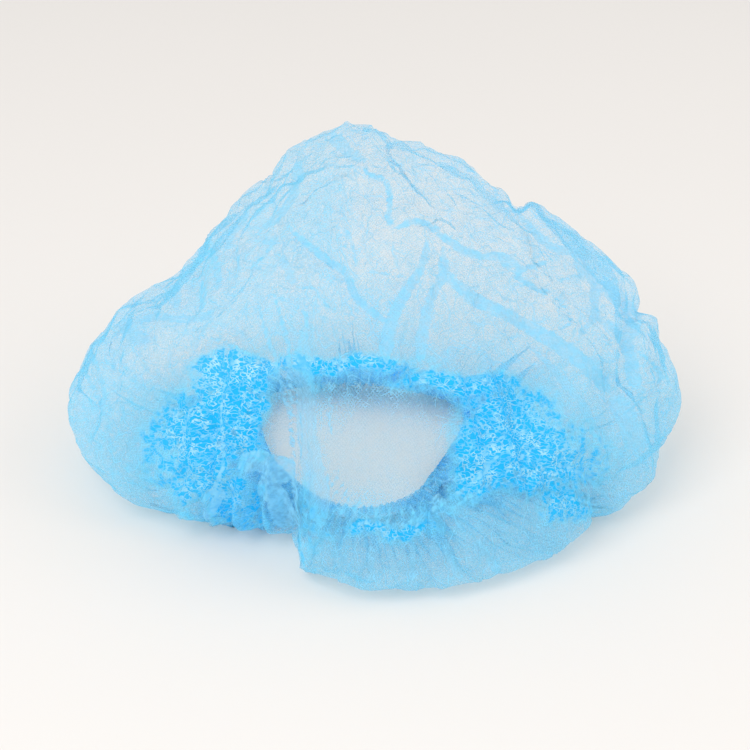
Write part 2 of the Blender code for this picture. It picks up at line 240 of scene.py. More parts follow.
# Bands where the cloth is pressed double, on the side that the camera sees. Each row holds the band's width
# where it starts and where it ends, in millimetres, then how much denser it is than the cloth beside it,
# from 0 to 1, and then its places, in the photograph's pixels from its left and its top.
BANDS = {
    "crest": (2.2, 3.0, 0.55, (363, 158), (369, 173), (386, 180), (390, 193), (389, 217), (394, 227)),
    "crest_foot": (
        3.0, 4.0, 0.5, (394, 227), (410, 224), (428, 223), (444, 236), (470, 252), (489, 256),
    ),
    "right_upper": (
        1.8, 2.4, 0.55, (480, 255), (491, 256), (505, 262), (518, 274), (535, 285), (555, 293),
    ),
    "right_bulge": (4.5, 1.0, 0.45, (489, 254), (510, 258), (522, 268), (537, 264), (558, 259)),
    "right_hook": (1.4, 1.6, 0.5, (555, 293), (566, 305), (572, 315), (570, 324), (549, 332)),
    "right_short": (1.2, 1.8, 0.45, (557, 282), (572, 276), (587, 276)),
    "right_rib": (
        6.0, 2.0, 0.4, (576, 248), (583, 267), (595, 282), (595, 305), (594, 318), (581, 334),
        (577, 349),
    ),
    "right_wing": (
        3.0, 8.0, 0.4, (594, 318), (610, 326), (622, 338), (631, 355), (634, 374), (640, 387),
    ),
    "main": (
        4.0, 8.0, 0.5, (441, 249), (446, 272), (470, 293), (505, 313), (543, 334), (579, 359),
        (614, 393),
    ),
    "main_tail": (8.0, 14.0, 0.3, (614, 393), (630, 420), (640, 450)),
    "right_line": (1.2, 2.4, 0.4, (468, 340), (480, 349), (494, 364), (509, 380), (537, 424)),
    "right_edge": (7.0, 8.0, 0.3, (599, 282), (618, 297), (634, 318), (630, 340)),
    "right_star": (1.2, 1.6, 0.5, (633, 345), (652, 361), (662, 372), (660, 385)),
    "right_star_arm": (1.0, 1.2, 0.4, (652, 371), (662, 372), (679, 393)),
    "notch": (2.2, 2.0, 0.5, (460, 168), (481, 169), (488, 181)),
    "notch_tail": (3.0, 4.5, 0.4, (515, 210), (535, 231), (553, 246), (575, 252)),
    "left_fork": (
        3.0, 7.0, 0.5, (427, 238), (424, 262), (409, 288), (395, 312), (388, 335), (386, 362),
    ),
    "right_fork": (3.0, 6.0, 0.4, (444, 249), (444, 271), (432, 297), (424, 325), (421, 362)),
    "left_branch": (
        2.5, 4.0, 0.5, (283, 223), (307, 244), (330, 262), (345, 272), (353, 292), (370, 310),
        (387, 322),
    ),
    "left_thread": (2.0, 1.2, 0.45, (344, 226), (352, 244), (355, 258), (358, 268)),
    "middle_line": (0.9, 1.2, 0.5, (363, 271), (380, 273), (395, 275), (406, 273)),
    "middle_crossing": (1.2, 1.0, 0.5, (294, 287), (312, 288), (323, 303), (334, 310), (352, 314)),
    "left_crossing": (1.2, 1.0, 0.4, (272, 295), (291, 303), (306, 316)),
    "top_left": (8.0, 3.0, 0.35, (331, 134), (347, 150), (366, 160)),
    "top_rib": (5.0, 4.0, 0.35, (300, 160), (294, 178), (288, 198), (280, 212), (262, 228)),
    "top_faint": (3.0, 2.0, 0.2, (411, 153), (416, 168), (414, 190)),
    "slope_first": (3.0, 1.5, 0.3, (266, 183), (267, 196), (274, 208)),
    "slope_second": (3.0, 2.5, 0.35, (245, 201), (243, 220), (231, 233), (227, 249)),
    "slope_third": (1.2, 1.2, 0.4, (235, 244), (237, 260), (234, 278)),
    "slope_fourth": (4.5, 3.0, 0.35, (205, 245), (213, 260), (216, 279), (214, 290)),
    "slope_fifth": (1.4, 4.0, 0.4, (196, 271), (199, 284), (201, 296), (199, 310)),
    "slope_sixth": (4.5, 3.5, 0.3, (172, 282), (175, 296), (176, 309)),
    "slope_seventh": (1.4, 1.2, 0.4, (151, 298), (156, 309), (157, 317)),
    "slope_foot": (4.0, 3.0, 0.35, (138, 319), (159, 316), (180, 319), (203, 316), (215, 310)),
    "left_shoulder": (9.0, 5.0, 0.3, (124, 319), (131, 334), (150, 340)),
    "left_first": (1.4, 1.4, 0.4, (106, 331), (106, 357), (114, 368), (137, 378)),
    "left_second": (2.6, 2.2, 0.35, (92, 351), (98, 371), (103, 392), (102, 418)),
    "left_third": (2.0, 1.6, 0.35, (79, 365), (90, 383), (95, 400)),
    "left_spoke": (1.2, 1.6, 0.5, (191, 330), (204, 336), (219, 339), (235, 347), (262, 360)),
    "left_ray": (1.6, 1.0, 0.45, (277, 236), (267, 250), (248, 268)),
    "left_patch": (4.0, 3.0, 0.3, (280, 258), (288, 270), (292, 284)),
    "fold_left": (1.4, 2.0, 0.45, (256, 300), (266, 334), (277, 371), (284, 412)),
    "fold_middle": (
        2.0, 1.2, 0.55, (275, 300), (283, 331), (289, 363), (288, 410), (291, 455), (296, 545),
    ),
    "fold_right": (1.2, 1.6, 0.5, (304, 300), (304, 345), (302, 391), (298, 440)),
    "fold_veil": (6.0, 13.0, 0.3, (301, 330), (303, 391), (306, 440), (313, 480), (320, 525)),
    "ruffle_first": (8.0, 12.0, 0.55, (238, 468), (256, 462), (274, 468), (292, 476)),
    "ruffle_second": (11.0, 10.0, 0.55, (262, 480), (276, 500), (286, 530)),
    "ruffle_third": (4.0, 6.0, 0.5, (222, 490), (212, 510), (200, 520)),
    "ruffle_ridge": (0.8, 2.5, 0.5, (221, 430), (223, 463), (214, 488), (199, 505)),
    "ruffle_hem": (0.7, 0.7, 0.5, (226, 473), (238, 478), (242, 468)),
    "ruffle_side": (0.6, 1.0, 0.5, (226, 480), (240, 503), (250, 522)),
    "gather_line_first": (0.9, 0.9, 0.6, (446, 512), (470, 498), (497, 481)),
    "gather_line_second": (0.9, 1.2, 0.5, (541, 494), (572, 498), (602, 508)),
    "gather_line_third": (0.7, 0.7, 0.5, (505, 395), (517, 425), (524, 452)),
    "gather_line_fourth": (0.7, 0.8, 0.5, (226, 375), (221, 402), (221, 430)),
    "gather_line_fifth": (0.7, 0.9, 0.5, (198, 392), (186, 420), (181, 450)),
    "elastic_left": (0.9, 0.8, 0.6, (198, 438), (225, 427), (254, 414)),
    "elastic_right": (0.9, 0.8, 0.6, (497, 481), (518, 462), (539, 443)),
    "elastic_right_lower": (0.9, 0.8, 0.6, (503, 483), (524, 475), (545, 468), (566, 466)),
    "lobe_edge": (
        1.2, 1.2, 0.5, (498, 455), (480, 478), (450, 498), (414, 521), (382, 524), (366, 522),
        (340, 533),
    ),
    "lobe_first": (3.0, 4.0, 0.25, (372, 545), (370, 562), (372, 582)),
    "lobe_second": (2.2, 3.0, 0.4, (412, 540), (413, 560), (412, 584)),
    "lobe_third": (3.0, 4.0, 0.3, (446, 545), (452, 562), (462, 580)),
    "lobe_fourth": (3.0, 4.0, 0.3, (478, 540), (490, 560), (500, 574)),
    "belly_first": (2.0, 5.0, 0.3, (529, 345), (557, 373), (580, 400), (600, 440)),
    "belly_second": (1.2, 3.0, 0.4, (566, 466), (590, 478), (610, 500)),
    "veil_first": (0.9, 0.9, 0.4, (307, 406), (307, 440), (323, 468), (333, 482)),
    "veil_second": (0.9, 0.8, 0.4, (328, 400), (328, 420), (331, 434)),
}

# How far from a band its ragged edge is worked out, in millimetres, the same in the photograph's pixels,
# the share of a band over which each end tapers, and over how many millimetres beside it its dent fades.
BAND_REACH = 6.0
BAND_MARGIN = 24
BAND_TAPER = 1 / 8
BAND_DENT_FADE = 2.0

# Gathers show as short bands, like the teeth of a comb, that point away from the middle of the mouth.
# The route along the near side of the mouth and the length of the teeth are in the photograph's pixels too.
COMB_MIDDLE = (388, 425)
COMB_ROUTE = ((338, 470), (352, 492), (385, 503), (425, 498), (452, 478), (476, 452), (486, 428))
COMB_TEETH = 23
COMB_LENGTH = 26
COMB_WIDTH = 1.0
COMB_DENSITY = 0.5

# Patches, on the side that the camera sees, where the web lies denser or, below 0, thinner than round them.
# The places and the half sizes, across and down, are in the photograph's pixels.
PATCHES = {
    "mouth_veil": ((378, 452), (92, 56), -0.75),
    "fold_veil": ((306, 470), (20, 120), 0.25),
    "left_window": ((166, 362), (30, 24), -0.55),
    "left_window_upper": ((207, 343), (34, 10), -0.5),
    "left_azure": ((232, 415), (60, 50), 0.9),
    "left_azure_outer": ((180, 455), (38, 46), 0.5),
    "left_azure_lower": ((228, 500), (44, 30), 0.6),
    "left_azure_upper": ((232, 366), (46, 17), 0.7),
    "mouth_left": ((286, 424), (22, 50), -1.0),
    "ruffle_first": ((258, 468), (20, 12), -0.8),
    "ruffle_second": ((284, 496), (16, 40), -0.9),
    "ruffle_third": ((203, 512), (10, 20), -0.8),
    "ruffle_rim": ((150, 505), (36, 14), -0.5),
    "far_hem": ((345, 364), (84, 9), 0.9),
    "far_hem_right": ((447, 382), (60, 10), 0.8),
    "right_azure": ((505, 425), (52, 42), 0.9),
    "right_azure_outer": ((560, 452), (54, 32), 0.5),
    "right_azure_lower": ((532, 474), (50, 22), 0.5),
    "right_corner": ((566, 508), (26, 16), 0.8),
    "front_lobe": ((400, 560), (80, 26), -0.10),
    "hem_right": ((476, 468), (32, 28), 0.8),
    "hem_left": ((292, 478), (22, 24), 0.25),
    "hem_ring_right": ((458, 458), (18, 44), 0.35),
    "hem_ring_front": ((385, 510), (70, 14), 0.35),
    "hem_ring_corner": ((438, 392), (26, 10), 0.3),
    "lobe_streak": ((385, 531), (56, 8), 0.75),
    "crown_middle": ((450, 215), (95, 70), -0.32),
    "crown_left": ((315, 205), (46, 60), 0.10),
    "slope_left": ((205, 270), (14, 44), 0.16),
    "slope_middle": ((262, 235), (14, 50), 0.16),
    "crown_right": ((520, 300), (100, 60), -0.25),
}

# The edges of the patches wander by so many pixels, in waves of so many. A patch is whole inside the first
# share of its half size, and ends at the second.
PATCH_WANDER = 4
PATCH_WAVE = 11
PATCH_WHOLE = 1 / 2
PATCH_END = 4 / 3

# One row for each direction: its azimuth, the share of the cloth, from the hem, that lies in dense gathers,
# how dense they are, and how dense the fine puckers above them are. Densities are from 0 to 1.
GATHERED = (
    (0, 0.14, 0.60, 0.26),
    (35, 0.12, 0.60, 0.20),
    (60, 0.09, 0.32, 0.16),
    (90, 0.08, 0.32, 0.14),
    (120, 0.09, 0.32, 0.18),
    (150, 0.13, 0.60, 0.28),
    (180, 0.13, 0.60, 0.30),
    (205, 0.10, 0.50, 0.30),
    (228, 0.06, 0.30, 0.30),
    (245, 0.04, 0.25, 0.24),
    (270, 0.03, 0.20, 0.20),
    (300, 0.05, 0.25, 0.20),
    (325, 0.10, 0.45, 0.22),
    (345, 0.13, 0.60, 0.26),
)

# The edge of the dense gathers wanders by the first share of the cloth, and fades over the second.
GATHERED_WANDER = 0.022
GATHERED_EDGE = 0.05

# Patterns of the cloth, in millimetres: from bond point to bond point, from crease to crease, how wide
# a crease is, and how broad the flat facets are.
BOND_PITCH = 1.4
CREASE_PITCH = 14
CREASE_WIDTH = 0.65
FACET_PITCH = 30

# The curls of the fibres are drawn out along them: how wide they are as a share of their length.
FIBRE_STRETCH = 0.55

# The kinds of shader nodes that are used most.
MATH = "ShaderNodeMath"
MAP_RANGE = "ShaderNodeMapRange"
PRINCIPLED = "ShaderNodeBsdfPrincipled"

# The stage: half the table's width, the strength of the light all round, and one row for each soft box
# with its name, place, width and power.
TABLE_HALF = 6.0
ROUND_LIGHT = 0.87
SOFT_BOXES = (
    ("key_box", (-0.7, -1.1, 1.5), 1.2, 18.0),
    ("fill_box", (1.3, -0.3, 1.1), 1.2, 6.0),
)


def colour(hex_code):
    """An sRGB hex code as the linear colour that a shader takes."""
    srgb = np.array([int(hex_code[i : i + 2], 16) for i in (1, 3, 5)]) / 255
    linear = np.where(srgb <= 0.04045, srgb / 12.92, ((srgb + 0.055) / 1.055) ** 2.4)
    return (*map(float, linear), 1.0)


class CapSizes(bpy.types.PropertyGroup):
    """Sizes of the cloth and the elastic."""

    cut_width: bpy.props.FloatProperty(
        name="Cut width",
        description="Width of the round sheet before it is gathered",
        default=0.61,
        unit="LENGTH",
    )
    cells: bpy.props.IntProperty(name="Cells", description="Cells across the sheet each way", default=308)
    hem_share: bpy.props.FloatProperty(
        name="Hem share", description="Share of the cloth that is folded over the elastic", default=0.055
    )
    tube_radius: bpy.props.FloatProperty(
        name="Hem tube radius",
        description="Radius of the fold over the elastic",
        default=0.0024,
        unit="LENGTH",
    )
    flap: bpy.props.FloatProperty(
        name="Turned-in edge", description="Cloth turned in past the elastic", default=0.006, unit="LENGTH"
    )
    puff: bpy.props.FloatProperty(
        name="Hem puff",
        description="How far the hem stands out between gathers",
        default=0.0030,
        unit="LENGTH",
    )
    pleat_height: bpy.props.FloatProperty(
        name="Pleat height",
        description="How deep the deepest gathers of the hem are drawn in",
        default=0.0075,
        unit="LENGTH",
    )
    crumple: bpy.props.FloatProperty(
        name="Crumple",
        description="Height of the random creases, as a share of their length",
        default=0.040,
    )
    band_depth: bpy.props.FloatProperty(
        name="Band depth",
        description="How deep the deepest pressed band lies",
        default=0.0022,
        unit="LENGTH",
    )
    sink: bpy.props.FloatProperty(
        name="Sink",
        description="How far in the cloth of the top lies, to leave room for wrinkles",
        default=0.0030,
        unit="LENGTH",
    )
    band_ribs: bpy.props.IntProperty(
        name="Band ribs",
        description="Ripples round the slack elastic",
        default=92,
    )
    settle_cells: bpy.props.IntProperty(
        name="Settling cells", description="Cells across the coarser sheet that buckles", default=154
    )
    settle_frames: bpy.props.IntProperty(
        name="Settling steps",
        description="Steps of the settling",
        default=15,
    )
    growth: bpy.props.FloatProperty(
        name="Growth",
        description="How much longer each thread of the crown gets as it buckles",
        default=0.08,
    )
    hem_growth: bpy.props.FloatProperty(
        name="Growth at the hem", description="The same, close to the hem", default=0.10
    )
    hold: bpy.props.FloatProperty(
        name="Hold",
        description="How firmly the crown keeps its form as it buckles, from 0 to 1",
        default=0.05,
    )
    drift_width: bpy.props.FloatProperty(
        name="Drift width",
        description="Waves wider than this keep the smooth form",
        default=0.022,
        unit="LENGTH",
    )
    most_moved: bpy.props.FloatProperty(
        name="Most moved",
        description="The furthest that the buckling moves a place",
        default=0.011,
        unit="LENGTH",
    )


class CapColours(bpy.types.PropertyGroup):
    """Colours of the cloth, the elastic and the table."""

    fibre: bpy.props.FloatVectorProperty(
        name="Fibre",
        description="Fibres where the web is thin",
        default=colour("#98DEF9"),
        size=4,
        subtype="COLOR",
    )
    fibre_close: bpy.props.FloatVectorProperty(
        name="Fibre, puckered",
        description="Fibres in loose gathers",
        default=colour("#84E2FF"),
        size=4,
        subtype="COLOR",
    )
    fibre_dense: bpy.props.FloatVectorProperty(
        name="Fibre, gathered",
        description="Fibres in dense gathers",
        default=colour("#00C6FF"),
        size=4,
        subtype="COLOR",
    )
    # Painted highlight: the pale colour given to the crests of fine crinkles and of bands, where they would
    # catch the light.
    crest: bpy.props.FloatVectorProperty(
        name="Crests",
        description="Crests of fine crinkles",
        default=colour("#C4F6FF"),
        size=4,
        subtype="COLOR",
    )
    elastic: bpy.props.FloatVectorProperty(
        name="Elastic",
        description="Colour of the elastic",
        default=colour("#DDF1FA"),
        size=4,
        subtype="COLOR",
    )
    table: bpy.props.FloatVectorProperty(
        name="Table", description="Colour of the table", default=colour("#E0DCD8"), size=4, subtype="COLOR"
    )


def column_of(name):
    """One named column of the section table."""
    return np.array([row[SECTION_COLUMNS.index(name)] for row in SECTIONS], float)


def round_value(name, azimuth):
    """A section column at any directions, in degrees: a smooth closed curve through the rows."""
    turn, value = column_of("azimuth"), column_of(name)
    turn = np.concatenate([turn[-2:] - 360, turn, turn[:2] + 360])
    value = np.concatenate([value[-2:], value, value[:2]])
    slope = (value[2:] - value[:-2]) / (turn[2:] - turn[:-2])
    turn, value = turn[1:-1], value[1:-1]
    at = azimuth % 360
    i = np.searchsorted(turn, at, side="right") - 1
    gap = turn[i + 1] - turn[i]
    t = (at - turn[i]) / gap
    from_value = (1 + 2 * t) * (1 - t) ** 2 * value[i] + t * (1 - t) ** 2 * gap * slope[i]
    to_value = t**2 * (3 - 2 * t) * value[i + 1] - t**2 * (1 - t) * gap * slope[i + 1]
    return from_value + to_value


def curve_through(knots, steps=24):
    """A smooth curve through all knots but the first and last, which only steer its ends."""
    span = np.sqrt(np.linalg.norm(np.diff(knots, axis=0), axis=1))
    at = np.concatenate([[0], np.cumsum(span)])
    slope = (knots[2:] - knots[:-2]) / (at[2:] - at[:-2])[:, None]
    line = []
    for i in range(1, len(knots) - 2):
        t = np.linspace(0, 1, steps, endpoint=i == len(knots) - 3)[:, None]
        gap = at[i + 1] - at[i]
        line.append(
            (1 + 2 * t) * (1 - t) ** 2 * knots[i]
            + t * (1 - t) ** 2 * gap * slope[i - 1]
            + t**2 * (3 - 2 * t) * knots[i + 1]
            - t**2 * (1 - t) * gap * slope[i]
        )
    return np.concatenate(line)


def mouth_radius(azimuth):
    """From the axis of the mouth to the middle of the elastic, at azimuths in radians."""
    across, along = MOUTH_WIDTH / 2, MOUTH_DEPTH / 2
    oval = across * along / np.hypot(along * np.cos(azimuth), across * np.sin(azimuth))
    return oval * round_value("mouth", np.degrees(azimuth))


def hem_lift(azimuth):
    """How far the hem stands off the table, at azimuths in radians."""
    return HEM_LIFT * np.maximum(0, np.sin(azimuth)) ** HEM_LIFT_SPREAD


def mouth_axis():
    """Where the axis of the mouth stands, from the low corner of the elastic's box."""
    azimuth = np.linspace(0, 2 * math.pi, 721)
    out = mouth_radius(azimuth) + ELASTIC_THICKNESS / 2
    loop = np.stack([out * np.cos(azimuth), out * np.sin(azimuth)], axis=1)
    return ELASTIC_BOX[0][:2] - loop.min(axis=0)


def meridian(azimuth):
    """The smooth crown in one direction, in degrees, from the hem to the top, as (distance out, height)."""
    reach = (CROWN_BOX[1][0] - MOUTH_AXIS[0]) / WIDEST_ROW
    height = CROWN_BOX[1][2]
    belly, shoulder, upper, opposite = (
        (reach * round_value(out, at), height * round_value(up, at))
        for out, up, at in (
            ("belly_out", "belly_up", azimuth),
            ("shoulder_out", "shoulder_up", azimuth),
            ("upper_out", "upper_up", azimuth),
            ("upper_out", "upper_up", azimuth + 180),
        )
    )
    hem = float(mouth_radius(math.radians(azimuth)))
    lift = float(hem_lift(math.radians(azimuth)))
    foot = max(belly[0] - FOOT_TUCK * belly[1], hem + FOOT_NEAREST * (belly[0] - hem))
    start, end = (hem - (foot - hem) / 2, 2 * lift), (-opposite[0], opposite[1])
    flat = [(hem, lift), ((hem + foot) / 2, FOOT_SAG * lift), (foot, 0)]
    return curve_through(np.array([start, *flat, belly, shoulder, upper, (0, height), end]))


MOUTH_AXIS = mouth_axis()


class SmoothCrown:
    """The smooth form of the crown, read at any azimuth and share of the way from the hem to the top."""

    TURNS = 360
    STEPS = 320

    def __init__(self):
        self.place = np.zeros((self.TURNS, self.STEPS + 1, 3))
        share = np.linspace(0, 1, self.STEPS + 1)
        for k in range(self.TURNS):
            line = meridian(k * 360 / self.TURNS)
            length = np.concatenate([[0], np.cumsum(np.linalg.norm(np.diff(line, axis=0), axis=1))])
            out = np.interp(share * length[-1], length, line[:, 0])
            up = np.interp(share * length[-1], length, line[:, 1])
            a = 2 * math.pi * k / self.TURNS
            self.place[k] = np.stack([out * math.cos(a), out * math.sin(a), up], axis=1)
        round_it = np.roll(self.place, -1, axis=0) - np.roll(self.place, 1, axis=0)
        normal = np.cross(round_it, np.gradient(self.place, axis=1))
        normal[:, -1] = (0, 0, 1)
        self.normal = normal / np.maximum(np.linalg.norm(normal, axis=2, keepdims=True), 1e-12)

    def read(self, grid, azimuth, share):
        turn = (azimuth / (2 * math.pi)) % 1 * self.TURNS
        step = np.clip(share, 0, 1) * self.STEPS
        i, j = np.floor(turn).astype(int), np.minimum(np.floor(step).astype(int), self.STEPS - 1)
        u, v = (turn - i)[:, None], (step - j)[:, None]
        i, after = i % self.TURNS, (i + 1) % self.TURNS
        near = (1 - u) * grid[i, j] + u * grid[after, j]
        far = (1 - u) * grid[i, j + 1] + u * grid[after, j + 1]
        return (1 - v) * near + v * far

    def at(self, azimuth, share):
        """Places and unit normals, outwards."""
        normal = self.read(self.normal, azimuth, share)
        return self.read(self.place, azimuth, share), normal / np.linalg.norm(normal, axis=1, keepdims=True)


def disc_place(azimuth, share, sizes):
    """Where a place of the crown lies on the flat sheet, by its azimuth in degrees and its share."""
    out = sizes.cut_width / 2 * (1 - sizes.hem_share) * (1 - share)
    a = math.radians(azimuth)
    return np.array([out * math.cos(a), out * math.sin(a)])


def along_line(points, line):
    """For flat points and a polyline: signed distance across it, share along it, and the way across it."""
    start, end = line[:-1], line[1:]
    span = end - start
    length = np.linalg.norm(span, axis=1)
    total = np.concatenate([[0], np.cumsum(length)])
    across = np.full(len(points), 1e9)
    share = np.zeros(len(points))
    way = np.zeros_like(points)
    for k in range(len(start)):
        unit = span[k] / length[k]
        away = points - start[k]
        t = np.clip(away @ unit, 0, length[k])
        rest = away - t[:, None] * unit
        distance = np.linalg.norm(rest, axis=1)
        side = np.sign(unit[0] * rest[:, 1] - unit[1] * rest[:, 0])
        nearer = distance < np.abs(across)
        across[nearer] = (distance * side)[nearer]
        share[nearer] = ((total[k] + t) / total[-1])[nearer]
        way[nearer] = (-unit[1], unit[0])
    return across, share, way


def bent_line(places, steps=10):
    """A smooth line through flat places."""
    places = np.array(places, float)
    knots = np.vstack([2 * places[0] - places[1], places, 2 * places[-1] - places[-2]])
    return curve_through(knots, steps)


def camera_place():
    """Where the camera stands."""
    rise = math.radians(CAMERA_RISE)
    return np.array(CAMERA_TARGET) + CAMERA_DISTANCE * np.array([0, -math.cos(rise), math.sin(rise)])


def photo_places(points):
    """Where points show in the photograph, in its pixels, and how many pixels a millimetre is there."""
    rise = math.radians(CAMERA_RISE)
    away = points - camera_place()
    depth = away @ np.array([0, math.cos(rise), -math.sin(rise)])
    up = away @ np.array([0, math.sin(rise), math.cos(rise)])
    scale = CAMERA_LENS / CAMERA_SENSOR * PHOTO_WIDTH / depth
    middle = PHOTO_WIDTH / 2
    return np.stack([middle + away[:, 0] * scale, middle - up * scale], axis=1), scale / 1000


def comb_teeth():
    """The gathers at the near side of the mouth, as bands."""
    route = bent_line(COMB_ROUTE)
    for start in route[np.linspace(0, len(route) - 1, COMB_TEETH).astype(int)]:
        way = start - COMB_MIDDLE
        end = start + COMB_LENGTH * way / np.linalg.norm(way)
        yield COMB_WIDTH, COMB_WIDTH, COMB_DENSITY, start, (start + end) / 2, end


def pressed_bands(points, normal):
    """For each point how many millimetres it lies outside the nearest band, and how dense that band is."""
    places, scale = photo_places(points)
    facing = np.sum(normal * (camera_place() - points), axis=1) > 0
    outside = np.full(len(points), BAND_REACH)
    dense = np.zeros(len(points))
    for width_start, width_end, density, *pixels in (*BANDS.values(), *comb_teeth()):
        line = bent_line(pixels, 6)
        low, high = line.min(axis=0) - BAND_MARGIN, line.max(axis=0) + BAND_MARGIN
        near = np.flatnonzero(facing & ((places > low) & (places < high)).all(axis=1))
        across, share, _ = along_line(places[near], line)
        width = width_start + (width_end - width_start) * share
        width *= np.sqrt(np.clip(share / BAND_TAPER, 0.05, 1) * np.clip((1 - share) / BAND_TAPER, 0.05, 1))
        edge = np.abs(across) / scale[near] - width / 2
        closer = edge < outside[near]
        outside[near[closer]] = edge[closer]
        dense[near[closer]] = density
    return outside, dense


def patches(points, normal):
    """For each point how much denser, or below 0 thinner, its patch makes it."""
    places = photo_places(points)[0]
    places = places + PATCH_WANDER * np.sin(places[:, ::-1] / PATCH_WAVE)
    facing = np.sum(normal * (camera_place() - points), axis=1) > 0
    change = np.zeros(len(points))
    for middle, half, amount in PATCHES.values():
        out = np.linalg.norm((places - middle) / half, axis=1)
        change += facing * amount * np.clip((PATCH_END - out) / (PATCH_END - PATCH_WHOLE), 0, 1)
    return change


def gathered(azimuth, share):
    """How densely the cloth is gathered, from 0 to 1, at azimuths in radians."""
    turn, gathers, density, puckers = np.array(GATHERED, float).T
    draw = np.random.default_rng(GATHERED_SEED)
    at = np.degrees(azimuth) % 360
    end = np.interp(at, turn, gathers, period=360) + GATHERED_WANDER * uneven(azimuth, draw, 5, 40)
    # The puckers are whole over the lowest quarter or so, and fade from there to the top.
    pucker = np.interp(at, turn, puckers, period=360) * np.clip(1.25 - 1.1 * share, 0, 1)
    density = np.interp(at, turn, density, period=360)
    return np.maximum(density * np.clip((end - share) / GATHERED_EDGE + 0.5, 0, 1), pucker)


def add_node(tree, kind, settings=None, links=None):
    """Adds a shader node, sets its properties and sockets, and links its inputs.

    A link from a node takes its first output. Inputs 1 to 4 of a Map Range node are the two values that it
    maps from and the two that it maps to.
    """
    node = tree.nodes.new(kind)
    for key, value in (settings or {}).items():
        if isinstance(key, int) or key in node.inputs:
            node.inputs[key].default_value = value
        else:
            setattr(node, key, value)
    for key, source in (links or {}).items():
        output = source.outputs[0] if isinstance(source, bpy.types.Node) else source
        tree.links.new(output, node.inputs[key])
    return node


def new_material(name):
    """An empty material and its output."""
    material = bpy.data.materials.new(name)
    material.use_nodes = True
    tree = material.node_tree
    tree.nodes.clear()
    return material, tree, tree.nodes.new("ShaderNodeOutputMaterial")


def curly_fibres(tree, places, rows, dimensions):
    """Fibres that wander over the cloth: thin lines where a smooth noise is at its middle.

    Each row is the turn of one family of fibres, the size of its curls in millimetres, and how thick it is.
    """
    highest = None
    for turn, size, thick in rows:
        stretch = {"Rotation": (0, 0, turn), "Scale": (FIBRE_STRETCH, 1.0, 1)}
        turned = add_node(tree, "ShaderNodeMapping", stretch, {"Vector": places})
        curls = {"noise_dimensions": dimensions, "Scale": 1 / size, "Detail": 1.0}
        noise = add_node(tree, "ShaderNodeTexNoise", curls, {"Vector": turned})
        off = add_node(tree, MATH, {"operation": "SUBTRACT", 1: 0.5}, {0: noise})
        off = add_node(tree, MATH, {"operation": "ABSOLUTE"}, {0: off})
        line = add_node(tree, MAP_RANGE, {1: 0.0, 2: thick, 3: 1.0, 4: 0.0}, {0: off})
        if highest is None:
            highest = line
        else:
            highest = add_node(tree, MATH, {"operation": "MAXIMUM"}, {0: highest, 1: line})
    return highest


